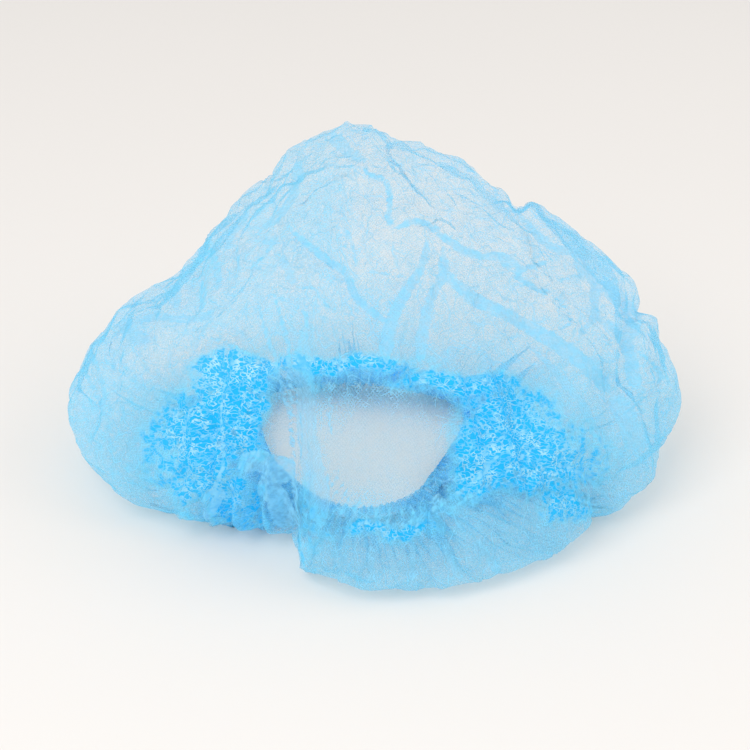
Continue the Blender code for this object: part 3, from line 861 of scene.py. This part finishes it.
def spunbond_polypropylene(colours, cut_width):
    """Spunbond polypropylene, about 14 g per square metre: a thin web of fibres, rolled with bond points.

    One layer lets most light through, so the eye sees a pale veil that turns azure where it lies in folds.
    """
    material, tree, output = new_material("spunbond_polypropylene")
    uv = add_node(tree, "ShaderNodeUVMap", {"uv_map": "sheet"})
    millimetres = cut_width * 1000
    sheet = add_node(tree, "ShaderNodeMapping", {"Scale": (millimetres, millimetres, 1)}, {"Vector": uv})
    place = add_node(tree, "ShaderNodeTexCoord").outputs["Object"]
    space = add_node(tree, "ShaderNodeVectorMath", {"operation": "SCALE", "Scale": 1000.0}, {0: place})
    web = add_node(tree, "ShaderNodeAttribute", {"attribute_name": "web"}).outputs["Vector"]
    outside, dense, gather = add_node(tree, "ShaderNodeSeparateXYZ", {}, {"Vector": web}).outputs

    # The web: clouds of more and fewer fibres, 8 mm across, and curly fibres. The real fibres are too fine
    # to show, so they are drawn about 0.3 mm wide.
    cloud = {"noise_dimensions": "2D", "Scale": 1 / 8, "Detail": 2.0, "Roughness": 0.65}
    clouds = add_node(tree, "ShaderNodeTexNoise", cloud, {"Vector": sheet})
    cloudy = add_node(tree, MAP_RANGE, {1: 0.32, 2: 0.68, 3: 0.62, 4: 1.32}, {0: clouds})
    fibres = curly_fibres(tree, sheet, ((0.3, 2.4, 0.05), (1.4, 1.7, 0.06), (2.5, 1.2, 0.07)), "2D")

    # Bond points: a diamond lattice. Each point, about 0.6 mm across, is fused and clearer.
    turned = {"Rotation": (0, 0, math.radians(45)), "Scale": (1 / BOND_PITCH, 1 / BOND_PITCH, 1)}
    lattice = add_node(tree, "ShaderNodeMapping", turned, {"Vector": sheet})
    grid = {"voronoi_dimensions": "2D", "Scale": 1.0, "Randomness": 0.25}
    points = add_node(tree, "ShaderNodeTexVoronoi", grid, {"Vector": lattice})
    clearer = add_node(tree, MAP_RANGE, {1: 0.18, 2: 0.38, 3: 0.45, 4: 1.0}, {0: points})

    # Creases from the packet: a wavy net of pressed lines, strong in some places only, and flat facets, each
    # made a little denser or thinner as painted light and shade, in place of the shading of facets turned
    # different ways to the light.
    waves = {"noise_dimensions": "2D", "Scale": 1 / CREASE_PITCH, "Detail": 1.0}
    bent = add_node(tree, "ShaderNodeTexNoise", waves, {"Vector": sheet})
    sway = {"operation": "MULTIPLY_ADD", 1: (CREASE_PITCH, CREASE_PITCH, 0)}
    swayed = add_node(tree, "ShaderNodeVectorMath", sway, {0: bent.outputs["Color"], 2: sheet})
    facets = {"voronoi_dimensions": "2D", "Scale": 1 / FACET_PITCH}
    facet = add_node(tree, "ShaderNodeTexVoronoi", facets, {"Vector": swayed})
    facet = add_node(tree, "ShaderNodeSeparateXYZ", {}, {"Vector": facet.outputs["Color"]})
    # Painted light and shade: each facet's web is made from 0.75 to 1.35 times as dense.
    facet_shade = add_node(tree, MAP_RANGE, {1: 0.0, 2: 1.0, 3: 0.75, 4: 1.35}, {0: facet})
    edges = {"voronoi_dimensions": "2D", "feature": "DISTANCE_TO_EDGE", "Scale": 1 / CREASE_PITCH}
    net = add_node(tree, "ShaderNodeTexVoronoi", edges, {"Vector": swayed}).outputs["Distance"]
    crease = add_node(tree, MAP_RANGE, {1: 0.0, 2: CREASE_WIDTH / CREASE_PITCH, 3: 0.42, 4: 0.0}, {0: net})
    somewhere = add_node(tree, MAP_RANGE, {1: 0.38, 2: 0.56, 3: 0.0, 4: 1.0}, {0: bent})
    not_thin = add_node(tree, MAP_RANGE, {1: -0.6, 2: -0.1, 3: 0.1, 4: 1.0}, {0: gather})
    for factor in (somewhere, not_thin):
        crease = add_node(tree, MATH, {"operation": "MULTIPLY"}, {0: crease, 1: factor})

    # The gathers have torn edges. The pattern is laid in space, because the sheet is drawn together there.
    tears = {"Scale": 1 / 5, "Detail": 1.0, "Roughness": 0.7}
    torn = add_node(tree, "ShaderNodeTexNoise", tears, {"Vector": space})
    tearing = add_node(tree, MATH, {"operation": "SUBTRACT", 1: 0.5}, {0: torn})
    strength = add_node(tree, MAP_RANGE, {1: 0.2, 2: 0.6, 3: 0.2, 4: 2.4}, {0: gather})
    gather = add_node(tree, MATH, {"operation": "MULTIPLY_ADD"}, {0: tearing, 1: strength, 2: gather})

    # Pressed bands: ragged edges, 3.5 mm a wave, and streaks.
    rags = {"noise_dimensions": "2D", "Scale": 1 / 3.5, "Detail": 1.0}
    ragged = add_node(tree, "ShaderNodeTexNoise", rags, {"Vector": sheet})
    edge = add_node(tree, MATH, {"operation": "SUBTRACT", 1: 0.5}, {0: ragged})
    edge = add_node(tree, MATH, {"operation": "MULTIPLY_ADD", 1: 1.8}, {0: edge, 2: outside})
    soft = {"interpolation_type": "SMOOTHSTEP", 1: -0.5, 2: 0.6, 3: 1.0, 4: 0.0}
    band = add_node(tree, MAP_RANGE, soft, {0: edge})
    streaks = add_node(tree, MAP_RANGE, {1: 0.30, 2: 0.65, 3: 1.25, 4: 0.75}, {0: ragged})
    for factor in (dense, streaks):
        band = add_node(tree, MATH, {"operation": "MULTIPLY"}, {0: band, 1: factor})

    # How much of the light the web stops: fibres and clouds, bond points and the facets' painted light and
    # shade, then more where the gathers are finer than the mesh, and one layer more in a band or a crease.
    web = add_node(tree, MATH, {"operation": "MULTIPLY_ADD", 1: 0.30, 2: 0.16}, {0: fibres})
    thinner = add_node(tree, MAP_RANGE, {1: -1.0, 2: 0.0, 3: 0.0, 4: 1.0}, {0: gather})
    for factor in (cloudy, clearer, facet_shade, thinner):
        web = add_node(tree, MATH, {"operation": "MULTIPLY"}, {0: web, 1: factor})
    packed = add_node(tree, MATH, {"operation": "MULTIPLY_ADD", 1: 0.08, 2: 0.88}, {0: fibres})
    packed = add_node(tree, MATH, {"operation": "SUBTRACT"}, {0: packed, 1: web})
    much = add_node(tree, MAP_RANGE, {1: 0.0, 2: 1.0, 3: 0.0, 4: 1.0}, {0: gather})
    web = add_node(tree, MATH, {"operation": "MULTIPLY_ADD"}, {0: packed, 1: much, 2: web})
    folded = add_node(tree, MATH, {"operation": "MAXIMUM"}, {0: band, 1: crease})
    folded = add_node(tree, MATH, {"operation": "MULTIPLY", 1: 1.3}, {0: folded})
    folded = add_node(tree, MATH, {"operation": "MINIMUM", 1: 0.85}, {0: folded})
    bare = add_node(tree, MATH, {"operation": "SUBTRACT", 0: 1.0}, {1: web})
    coverage = add_node(tree, MATH, {"operation": "MULTIPLY_ADD"}, {0: bare, 1: folded, 2: web})

    # Painted highlight: the crests of fine crinkles, and of bands, are painted pale over the azure of the
    # gathers, as if they caught the light.
    curls = curly_fibres(tree, space, ((0.8, 2.7, 0.05), (2.0, 2.1, 0.05)), "3D")
    curls = add_node(tree, MAP_RANGE, {1: 0.1, 2: 0.6, 3: 0.0, 4: 1.0}, {0: curls})
    strewn = add_node(tree, MAP_RANGE, {1: 0.36, 2: 0.60, 3: 1.0, 4: 0.30}, {0: torn})
    curls = add_node(tree, MATH, {"operation": "MULTIPLY"}, {0: curls, 1: strewn})
    raised = add_node(tree, MAP_RANGE, {1: 0.1, 2: 0.5, 3: 0.0, 4: 0.55}, {0: band})
    crest_highlights = add_node(tree, MATH, {"operation": "MAXIMUM"}, {0: curls, 1: raised})
    gathers = add_node(tree, MAP_RANGE, {1: 0.50, 2: 0.80, 3: 0.0, 4: 1.0}, {0: gather})
    crest_highlights = add_node(tree, MATH, {"operation": "MULTIPLY"}, {0: crest_highlights, 1: gathers})
    puckers = add_node(tree, MAP_RANGE, {1: 0.05, 2: 0.40, 3: 0.0, 4: 1.0}, {0: gather})
    # The last layer lays the painted crest highlights over the tone.
    layers = (puckers, colours.fibre_close), (gathers, colours.fibre_dense), (crest_highlights, colours.crest)
    tone = None
    for factor, paint in layers:
        links = {"Factor": factor} if tone is None else {"Factor": factor, 6: tone}
        shades = {"data_type": "RGBA", 6: tuple(colours.fibre), 7: tuple(paint)}
        tone = add_node(tree, "ShaderNodeMix", shades, links).outputs[2]

    front = add_node(tree, PRINCIPLED, {"Roughness": 0.6, "IOR": 1.49}, {"Base Color": tone})
    through = add_node(tree, "ShaderNodeBsdfTranslucent", {}, {"Color": tone})
    solid = add_node(tree, "ShaderNodeMixShader", {"Fac": 0.5}, {1: front, 2: through})
    clear = add_node(tree, "ShaderNodeBsdfTransparent", {"Color": (1, 1, 1, 1)})
    veil = add_node(tree, "ShaderNodeMixShader", {}, {"Fac": coverage, 1: clear, 2: solid})
    tree.links.new(veil.outputs["Shader"], output.inputs["Surface"])
    return material


def braided_elastic(colours):
    """Braided elastic of rubber cores under white yarn: a matt band with fine ribs along it, 0.5 mm apart."""
    material, tree, output = new_material("braided_elastic")
    place = add_node(tree, "ShaderNodeTexCoord").outputs["Object"]
    wave = {"bands_direction": "Z", "Scale": 100.0, "Distortion": 1.5, "Detail": 2.0}
    ribs = add_node(tree, "ShaderNodeTexWave", wave, {"Vector": place}).outputs["Fac"]
    yarn = add_node(tree, "ShaderNodeTexNoise", {"Scale": 900.0, "Detail": 3.0}, {"Vector": place})
    dark = tuple(0.8 * c for c in colours.elastic[:3]) + (1.0,)
    shades = {"data_type": "RGBA", 6: tuple(colours.elastic), 7: dark}
    tone = add_node(tree, "ShaderNodeMix", shades, {"Factor": yarn}).outputs[2]
    bump = add_node(tree, "ShaderNodeBump", {"Strength": 0.6, "Distance": 0.0003}, {"Height": ribs})
    shader = add_node(tree, PRINCIPLED, {"Roughness": 0.7}, {"Base Color": tone, "Normal": bump})
    tree.links.new(shader.outputs["BSDF"], output.inputs["Surface"])
    return material


def painted_board(colours):
    """A painted board: near white, with a faint unevenness."""
    material, tree, output = new_material("painted_board")
    place = add_node(tree, "ShaderNodeTexCoord").outputs["Object"]
    mottle = add_node(tree, "ShaderNodeTexNoise", {"Scale": 3.0, "Detail": 2.0}, {"Vector": place})
    dark = tuple(0.985 * c for c in colours.table[:3]) + (1.0,)
    shades = {"data_type": "RGBA", 6: tuple(colours.table), 7: dark}
    tone = add_node(tree, "ShaderNodeMix", shades, {"Factor": mottle}).outputs[2]
    matt = {"Roughness": 0.9, "Specular IOR Level": 0.1}
    shader = add_node(tree, PRINCIPLED, matt, {"Base Color": tone})
    tree.links.new(shader.outputs["BSDF"], output.inputs["Surface"])
    return material


def link(name, mesh):
    """Puts a mesh in the scene."""
    obj = bpy.data.objects.new(name, mesh)
    bpy.context.scene.collection.objects.link(obj)
    return obj


def flat_grid(cells, radius):
    """A square grid rounded to a disc: the grid as a bmesh, and each vertex's place on the flat sheet."""
    build = bmesh.new()
    bmesh.ops.create_grid(build, x_segments=cells, y_segments=cells, size=1.0)
    square = np.array([vert.co[:2] for vert in build.verts])
    x, y = square.T
    flat_side = np.abs(x) >= np.abs(y)
    with np.errstate(divide="ignore", invalid="ignore"):
        turn = np.where(flat_side, math.pi / 4 * y / x, math.pi / 2 - math.pi / 4 * x / y)
    out = np.where(flat_side, x, y)
    turn = np.nan_to_num(turn)
    return build, radius * np.stack([out * np.cos(turn), out * np.sin(turn)], axis=1)


def square_place(flat, radius):
    """Where places of the disc lie on the square grid, from -1 to 1 each way: the reverse of flat_grid."""
    out = np.linalg.norm(flat, axis=1) / radius
    turn = np.arctan2(flat[:, 1], flat[:, 0])
    quarter = np.round(turn / (math.pi / 2))
    along = out * (turn - quarter * math.pi / 2) / (math.pi / 4)
    c, s = np.round(np.cos(quarter * math.pi / 2)), np.round(np.sin(quarter * math.pi / 2))
    return np.stack([out * c - along * s, out * s + along * c], axis=1)


def read_grid(values, cells, flat, radius):
    """Values kept at the vertices of a flat_grid, read at other places of the sheet by smooth curves."""
    corner = (square_place(values[0], radius) + 1) / 2 * cells
    grid = np.zeros((cells + 1, cells + 1, 3))
    grid[tuple(np.round(corner).astype(int).T)] = values[1]
    at = np.clip((square_place(flat, radius) + 1) / 2 * cells, 0, cells)
    low = np.minimum(np.floor(at).astype(int), cells - 1)
    t = at - low
    weights = (
        (-t + 2 * t**2 - t**3) / 2,
        (2 - 5 * t**2 + 3 * t**3) / 2,
        (t + 4 * t**2 - 3 * t**3) / 2,
        (-(t**2) + t**3) / 2,
    )
    read = np.zeros((len(flat), 3))
    for i, across in enumerate(weights):
        for j, along in enumerate(weights):
            column = np.clip(low[:, 0] + i - 1, 0, cells)
            row = np.clip(low[:, 1] + j - 1, 0, cells)
            read += (across[:, 0] * along[:, 1])[:, None] * grid[column, row]
    return read


def tuck_lines(sizes):
    """All tucks as flat lines, the large one first, with the width of the doubled band at both ends."""
    places, width_start, width_end = TUCK
    yield bent_line([disc_place(a, s, sizes) for a, s in places]), width_start, width_end
    draw = np.random.default_rng(TUCK_SEED)
    count, shortest, longest, narrowest, widest = SMALL_TUCKS
    inside = SMALL_TUCKS_INSIDE * sizes.cut_width / 2
    for _ in range(count):
        out, turn = inside * math.sqrt(draw.uniform()), draw.uniform(0, 2 * math.pi)
        middle = out * np.array([math.cos(turn), math.sin(turn)])
        angle = draw.uniform(0, math.pi)
        along = draw.uniform(shortest, longest) / 2 * np.array([math.cos(angle), math.sin(angle)])
        bow = draw.uniform(-0.2, 0.2) * np.array([-along[1], along[0]])
        yield bent_line([middle - along, middle + bow, middle + along]), *draw.uniform(narrowest, widest, 2)


def lay_tucks(flat, sizes):
    """Moves the sheet over itself at each tuck. Returns the moved places and the height of each layer."""
    placed = flat.copy()
    lift = np.zeros(len(flat))
    for line, width_start, width_end in tuck_lines(sizes):
        across, share, direction = along_line(flat, line)
        fade = np.clip(1.6 * np.sin(math.pi * np.clip(share, 0, 1)), 0, 1)
        half = (width_start + (width_end - width_start) * share) / 2
        reach = np.maximum(TUCK_REACH, 6 * half)
        u = np.abs(across)
        # Across the tuck the cloth runs forward, back and forward again over the same band.
        shift = np.where(u < half, 2 * u, 2 * half * np.clip(1 - (u - 3 * half) / reach, 0, 1))
        placed -= direction * (np.sign(across) * shift * fade)[:, None]
        layered = u < 3 * half
        lift += np.where(layered, TUCK_GAP * np.clip(-across / half, -1.5, 1.5), 0) * fade
    return placed, lift


def frill(azimuth, share):
    """How far the frill stands out sideways from the mouth, at azimuths in radians."""
    middle, half_width, scallops, height, peak, end = FRILL
    off = (np.degrees(azimuth) - middle + 180) % 360 - 180
    window = np.clip(1 - (off / half_width) ** 2, 0, 1)
    rise = np.clip(share / peak, 0, 1) * np.clip((end - share) / (end - peak), 0, 1)
    return height * window * rise * np.cos(scallops * azimuth)


def creases(flat):
    """Random straight creases, each a narrow spindle that stands up or in: heights before scaling."""
    draw = np.random.default_rng(CREASE_SEED)
    order = np.argsort(flat[:, 0])
    sorted_x = flat[order, 0]
    reach = np.abs(flat).max()
    height = np.zeros(len(flat))
    for count, shortest, longest in CREASES:
        for _ in range(count):
            middle = draw.uniform(-reach, reach, 2)
            angle = draw.uniform(0, math.pi)
            unit = np.array([math.cos(angle), math.sin(angle)])
            length = draw.uniform(shortest, longest)
            width = length * draw.uniform(*SPINDLE_WIDTHS)
            tall = draw.choice([-1.0, 1.0]) * draw.uniform(*SPINDLE_HEIGHTS) * length
            first, last = np.searchsorted(sorted_x, (middle[0] - length, middle[0] + length))
            near = order[first:last]
            near = near[np.abs(flat[near, 1] - middle[1]) < length]
            away = flat[near] - middle
            along = away @ unit / length
            across = (unit[0] * away[:, 1] - unit[1] * away[:, 0]) / width
            height[near] += tall * np.clip(np.clip(1 - along**2, 0, 1) - np.abs(across), 0, None)
    return height


def grooves(flat, sizes):
    """The charted grooves, as depth below the smooth crown."""
    depth = np.zeros(len(flat))
    for *places, deep, wide in GROOVES:
        line = bent_line([disc_place(a, s, sizes) for a, s in places])
        across, share, _ = along_line(flat, line)
        fade = np.sin(math.pi * np.clip(share, 0.03, 0.97)) ** 0.6
        t = np.clip(np.abs(across) / (wide * GROOVE_WIDTH), 0, 1)
        depth = np.maximum(depth, deep * GROOVE_DEPTH * fade * (1 - t**1.5) ** 1.5)
    return depth


def uneven(azimuth, draw, low, high):
    """A smooth random value round the mouth, about -1 to 1, with waves from low to high turns."""
    waves = range(low, high + 1)
    whole = 2 * math.pi
    total = sum(draw.normal() / math.sqrt(k) * np.sin(k * azimuth + draw.uniform(0, whole)) for k in waves)
    return total / math.sqrt(sum(1 / k for k in waves)) * 1.2


def gather_rows(azimuth, share, sizes):
    """Gathers of the crown: how far they draw the cloth in, and how far they lean sideways."""
    draw = np.random.default_rng(GATHER_SEED)
    lift = np.zeros(len(azimuth))
    lean = np.zeros(len(azimuth))
    for pleats, height, start, peak, end in GATHERS:
        # The pleats wander round the mouth in slow and in quick waves, bend on their way up, and differ
        # in depth.
        wander = 1.6 * uneven(azimuth, draw, 3, 14) + 0.9 * uneven(azimuth, draw, 15, 40)
        bend = share * pleats / 8 * uneven(azimuth, draw, 5, 22)
        turn = pleats * azimuth + wander + bend
        strength = 1 + 0.4 * uneven(azimuth, draw, 4, 30)
        rise = np.clip((share - start) / (peak - start), 0, 1)
        fall = np.clip((end + 0.07 * uneven(azimuth, draw, 6, 24) - share) / (end - peak), 0, 1)
        size = sizes.pleat_height * height * strength * (rise * fall) ** 1.2
        wave = (1 + np.cos(turn)) / 2
        lift += size * wave**0.8
        lean -= size * PLEAT_LEAN * np.sin(2 * turn)
    return lift, lean


def hem_share_at(flat, sizes):
    """The share of the way from the hem, 0, to the top, 1. The folded hem itself has shares below 0."""
    out = np.linalg.norm(flat, axis=1) / (sizes.cut_width / 2)
    return (1 - out - sizes.hem_share) / (1 - sizes.hem_share)


def crown_points(flat, layer, form, sizes):
    """Places of the crown's cloth for places of the flat sheet, layer metres off it."""
    azimuth = np.arctan2(flat[:, 1], flat[:, 0])
    share = hem_share_at(flat, sizes)
    place, normal = form.at(azimuth, share)
    lift, lean = gather_rows(azimuth, np.clip(share, 0, 1), sizes)
    grooved = grooves(flat, sizes) * np.clip(share / 0.2, 0, 1)
    inward = lift + grooved + sizes.sink * np.clip(5 * share - 3, 0, 1)
    side = np.cross(normal, np.stack([-np.sin(azimuth), np.cos(azimuth), 0 * azimuth], axis=1))
    sideways = np.cross(side, normal)
    points = place - normal * (inward - layer)[:, None] + sideways * lean[:, None]
    outwards = np.stack([np.cos(azimuth), np.sin(azimuth), 0.5 * (share > 0)], axis=1)
    points += outwards * frill(azimuth, np.maximum(share, 0))[:, None]

    # The hem folds over the elastic: a flap, then half a tube that puffs out between the gathers.
    hem = share < 0
    at = azimuth[hem]
    t = np.clip(1 + share[hem] * (1 - sizes.hem_share) / sizes.hem_share, 0, 1)
    lift, lean = gather_rows(at, 0 * t, sizes)
    tube = sizes.tube_radius + sizes.puff * np.clip(1 - lift / sizes.pleat_height, 0, 1)
    middle = mouth_radius(at)
    flap_share = 0.4
    turn = math.pi / 2 + math.pi * np.clip((t - flap_share) / (1 - flap_share), 0, 1)
    flap = sizes.flap * np.clip(1 - t / flap_share, 0, 1)
    across = middle + flap + tube * np.cos(turn)
    up = HEM_HEIGHT + hem_lift(at) + tube * np.sin(turn)
    at = at + lean / middle
    points[hem] = np.stack([across * np.cos(at), across * np.sin(at), up], axis=1)
    points[:, :2] += MOUTH_AXIS
    return points


def buckled(sizes, form):
    """How far the cloth moves as it buckles: Blender's cloth on a coarser sheet that grows, its hem held.

    The top is held too, more firmly the closer it is, and the threads grow most close to the hem.
    """
    build, flat = flat_grid(sizes.settle_cells, sizes.cut_width / 2)
    points = crown_points(flat, 0 * flat[:, 0], form, sizes)
    share = hem_share_at(flat, sizes)
    for vert, point in zip(build.verts, points):
        vert.co = point
    mesh = bpy.data.meshes.new("settling")
    build.to_mesh(mesh)
    build.free()
    sheet = link("settling", mesh)
    hold = sheet.vertex_groups.new(name="hold")
    slack = sheet.vertex_groups.new(name="slack")
    top_held = np.clip((share - TOP_HELD_FROM) / (1 - TOP_HELD_FROM), 0, TOP_HOLD)
    held = np.maximum(np.clip(1 - share / HEM_HELD, sizes.hold, 1), top_held)
    loose = np.clip(1 - (share - GROWTH_WHOLE) / GROWTH_FADE, 0, 1)
    for k in range(len(flat)):
        hold.add([k], float(held[k]), "REPLACE")
        slack.add([k], float(loose[k]), "REPLACE")
    cloth = sheet.modifiers.new("cloth", "CLOTH")
    settings = cloth.settings
    settings.quality = 4
    settings.mass = 0.02
    settings.tension_stiffness = settings.compression_stiffness = 20
    settings.shear_stiffness = 5
    settings.bending_stiffness = 0.02
    settings.tension_damping = settings.compression_damping = settings.shear_damping = 10
    settings.air_damping = 2
    settings.vertex_group_mass = "hold"
    settings.vertex_group_shrink = "slack"
    settings.shrink_min = -sizes.growth
    settings.shrink_max = -sizes.hem_growth
    settings.effector_weights.gravity = 0
    cloth.collision_settings.use_collision = False
    cloth.point_cache.frame_end = sizes.settle_frames
    scene = bpy.context.scene
    for frame in range(1, sizes.settle_frames + 1):
        scene.frame_set(frame)
    settled = sheet.evaluated_get(bpy.context.evaluated_depsgraph_get()).to_mesh()
    moved = np.array([vert.co for vert in settled.vertices]) - points
    scene.frame_set(1)
    bpy.data.objects.remove(sheet)
    if not np.abs(moved).max() > 0:
        raise RuntimeError("the cloth did not move")
    moved -= drift(flat, moved, sizes)
    far = np.linalg.norm(moved, axis=1, keepdims=True)
    return flat, moved * np.minimum(1, sizes.most_moved / np.maximum(far, 1e-9))


def drift(flat, moved, sizes):
    """The slow, wide part of the movement. Without it the crown wrinkles, but keeps its form."""
    cells = sizes.settle_cells
    corner = tuple(np.round((square_place(flat, sizes.cut_width / 2) + 1) / 2 * cells).astype(int).T)
    grid = np.zeros((cells + 1, cells + 1, 3))
    grid[corner] = moved
    width = sizes.drift_width / sizes.cut_width * cells
    at = np.arange(-round(2 * width), round(2 * width) + 1)
    weights = np.exp(-((at / width) ** 2)) / np.exp(-((at / width) ** 2)).sum()
    for axis in (0, 1):
        places = np.clip(np.arange(cells + 1)[:, None] + at, 0, cells)
        grid = np.tensordot(np.take(grid, places, axis=axis), weights, axes=(axis + 1, 0))
    return grid[corner]


class CAP_OT_crown(bpy.types.Operator):
    """Makes the crown: the round sheet, gathered, folded and creased."""

    bl_idname = "cap.crown"
    bl_label = "Crown"

    def execute(self, context):
        sizes, colours = context.scene.cap_sizes, context.scene.cap_colours
        form = SmoothCrown()
        radius = sizes.cut_width / 2
        build, flat = flat_grid(sizes.cells, radius)
        placed, layer = lay_tucks(flat, sizes)
        points = crown_points(placed, layer, form, sizes)
        share = hem_share_at(placed, sizes)
        loose = np.clip(share / HEM_HELD, 0, 1)[:, None]
        points += loose * read_grid(buckled(sizes, form), sizes.settle_cells, placed, radius)
        azimuth = np.arctan2(placed[:, 1], placed[:, 0])
        normal = form.at(azimuth, share)[1]
        outside, dense = pressed_bands(points, normal)
        pressed = dense * np.clip(1 - outside / BAND_DENT_FADE, 0, 1)
        raised = sizes.crumple * creases(flat) - sizes.band_depth * pressed
        points += loose * normal * raised[:, None]
        points[:, 2] = np.maximum(points[:, 2], TABLE_GAP)
        uv = build.loops.layers.uv.new("sheet")
        web = build.verts.layers.float_vector.new("web")
        gather = gathered(azimuth, share) + patches(points, normal)
        build.verts.ensure_lookup_table()
        spots = flat / sizes.cut_width + 0.5
        for face in build.faces:
            face.smooth = True
            for loop in face.loops:
                loop[uv].uv = spots[loop.vert.index]
        for k, vert in enumerate(build.verts):
            vert.co = points[k]
            vert[web] = (outside[k], dense[k], gather[k])
        mesh = bpy.data.meshes.new("crown_cloth")
        build.to_mesh(mesh)
        build.free()
        crown = link("crown_cloth", mesh)
        crown.data.materials.append(spunbond_polypropylene(colours, sizes.cut_width))
        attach(crown, "root")
        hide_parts("crown_sheet")
        return {"FINISHED"}


class CAP_OT_elastic(bpy.types.Operator):
    """Makes the flat elastic loop inside the hem, slightly rippled where it has drawn the cloth in."""

    bl_idname = "cap.elastic"
    bl_label = "Elastic"

    def execute(self, context):
        sizes, colours = context.scene.cap_sizes, context.scene.cap_colours
        half_out, half_up = ELASTIC_DRAWN_THICKNESS / 2, ELASTIC_HEIGHT / 2
        build = bmesh.new()
        ring = bmesh.ops.create_grid(build, x_segments=1, y_segments=4, size=0.5)["verts"]
        for vert in ring:
            vert.co = Vector((1 + vert.co.x * 2 * half_out, 0, vert.co.y * 2 * half_up))
        rim = [edge for edge in build.edges if edge.is_boundary]
        bmesh.ops.delete(build, geom=list(build.faces), context="FACES_ONLY")
        inner = [edge for edge in build.edges if edge not in rim]
        bmesh.ops.delete(build, geom=inner, context="EDGES")
        bmesh.ops.spin(
            build,
            geom=list(build.verts) + list(build.edges),
            cent=(0, 0, 0),
            axis=(0, 0, 1),
            angle=2 * math.pi,
            steps=ELASTIC_STEPS,
            use_merge=True,
        )
        bmesh.ops.remove_doubles(build, verts=build.verts, dist=1e-7)
        for vert in build.verts:
            turn = math.atan2(vert.co.y, vert.co.x)
            off = math.hypot(vert.co.x, vert.co.y) - 1
            ripple = RIPPLE_FINE * math.sin(sizes.band_ribs * turn) + RIPPLE_SLOW * math.sin(5 * turn + 1)
            out = float(mouth_radius(turn)) + off + ripple
            vert.co = Vector(
                (
                    MOUTH_AXIS[0] + out * math.cos(turn),
                    MOUTH_AXIS[1] + out * math.sin(turn),
                    HEM_HEIGHT + float(hem_lift(turn)) + vert.co.z,
                )
            )
        bmesh.ops.recalc_face_normals(build, faces=build.faces)
        for face in build.faces:
            face.smooth = True
        mesh = bpy.data.meshes.new("elastic_loop")
        build.to_mesh(mesh)
        build.free()
        band = link("elastic_loop", mesh)
        mesh.materials.append(braided_elastic(colours))
        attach(band, "root")
        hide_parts("elastic_band")
        return {"FINISHED"}


class CAP_OT_stage(bpy.types.Operator):
    """Sets the table, the soft light and the camera at the photograph's height."""

    bl_idname = "cap.stage"
    bl_label = "Stage"

    def execute(self, context):
        scene = context.scene
        build = bmesh.new()
        bmesh.ops.create_grid(build, x_segments=1, y_segments=1, size=TABLE_HALF)
        mesh = bpy.data.meshes.new("table_top")
        build.to_mesh(mesh)
        build.free()
        table = link("table_top", mesh)
        mesh.materials.append(painted_board(scene.cap_colours))

        world = bpy.data.worlds.new("studio")
        scene.world = world
        world.use_nodes = True
        background = world.node_tree.nodes["Background"].inputs
        background["Color"].default_value = (1, 1, 1, 1)
        background["Strength"].default_value = ROUND_LIGHT
        for name, place, width, power in SOFT_BOXES:
            lamp = bpy.data.lights.new(name, "AREA")
            lamp.shape = "SQUARE"
            lamp.size = width
            lamp.energy = power
            box = bpy.data.objects.new(name, lamp)
            box.location = place
            box.rotation_euler = (-Vector(place)).to_track_quat("-Z", "Y").to_euler()
            scene.collection.objects.link(box)

        lens = bpy.data.cameras.new("camera")
        lens.lens = CAMERA_LENS
        lens.sensor_width = CAMERA_SENSOR
        camera = bpy.data.objects.new("camera", lens)
        camera.location = Vector(camera_place())
        view = Vector(CAMERA_TARGET) - camera.location
        camera.rotation_euler = view.to_track_quat("-Z", "Y").to_euler()
        scene.collection.objects.link(camera)
        scene.camera = camera
        scene.view_settings.view_transform = "Standard"
        scene.cycles.transparent_max_bounces = 32
        scene.cycles.max_bounces = 9
        scene.cycles.diffuse_bounces = 5
        scene.cycles.transmission_bounces = 6
        return {"FINISHED"}


class CAP_PT_panel(bpy.types.Panel):
    """Lists the steps that make the cap."""

    bl_label = "Bouffant cap"
    bl_idname = "CAP_PT_panel"
    bl_space_type = "VIEW_3D"
    bl_region_type = "UI"
    bl_category = "Cap"

    def draw(self, context):
        for step in STEPS:
            self.layout.operator(step.bl_idname)
        for group in (context.scene.cap_sizes, context.scene.cap_colours):
            for name in group.__annotations__:
                self.layout.prop(group, name)


STEPS = (CAP_OT_stage, CAP_OT_elastic, CAP_OT_crown)
CLASSES = (CapSizes, CapColours, *STEPS, CAP_PT_panel)


def register():
    for cls in CLASSES:
        bpy.utils.register_class(cls)
    bpy.types.Scene.cap_sizes = bpy.props.PointerProperty(type=CapSizes)
    bpy.types.Scene.cap_colours = bpy.props.PointerProperty(type=CapColours)


def unregister():
    del bpy.types.Scene.cap_sizes
    del bpy.types.Scene.cap_colours
    for cls in reversed(CLASSES):
        bpy.utils.unregister_class(cls)


def main():
    register()
    bpy.ops.cap.stage()
    bpy.ops.cap.elastic()
    bpy.ops.cap.crown()


if __name__ == "__main__":
    main()
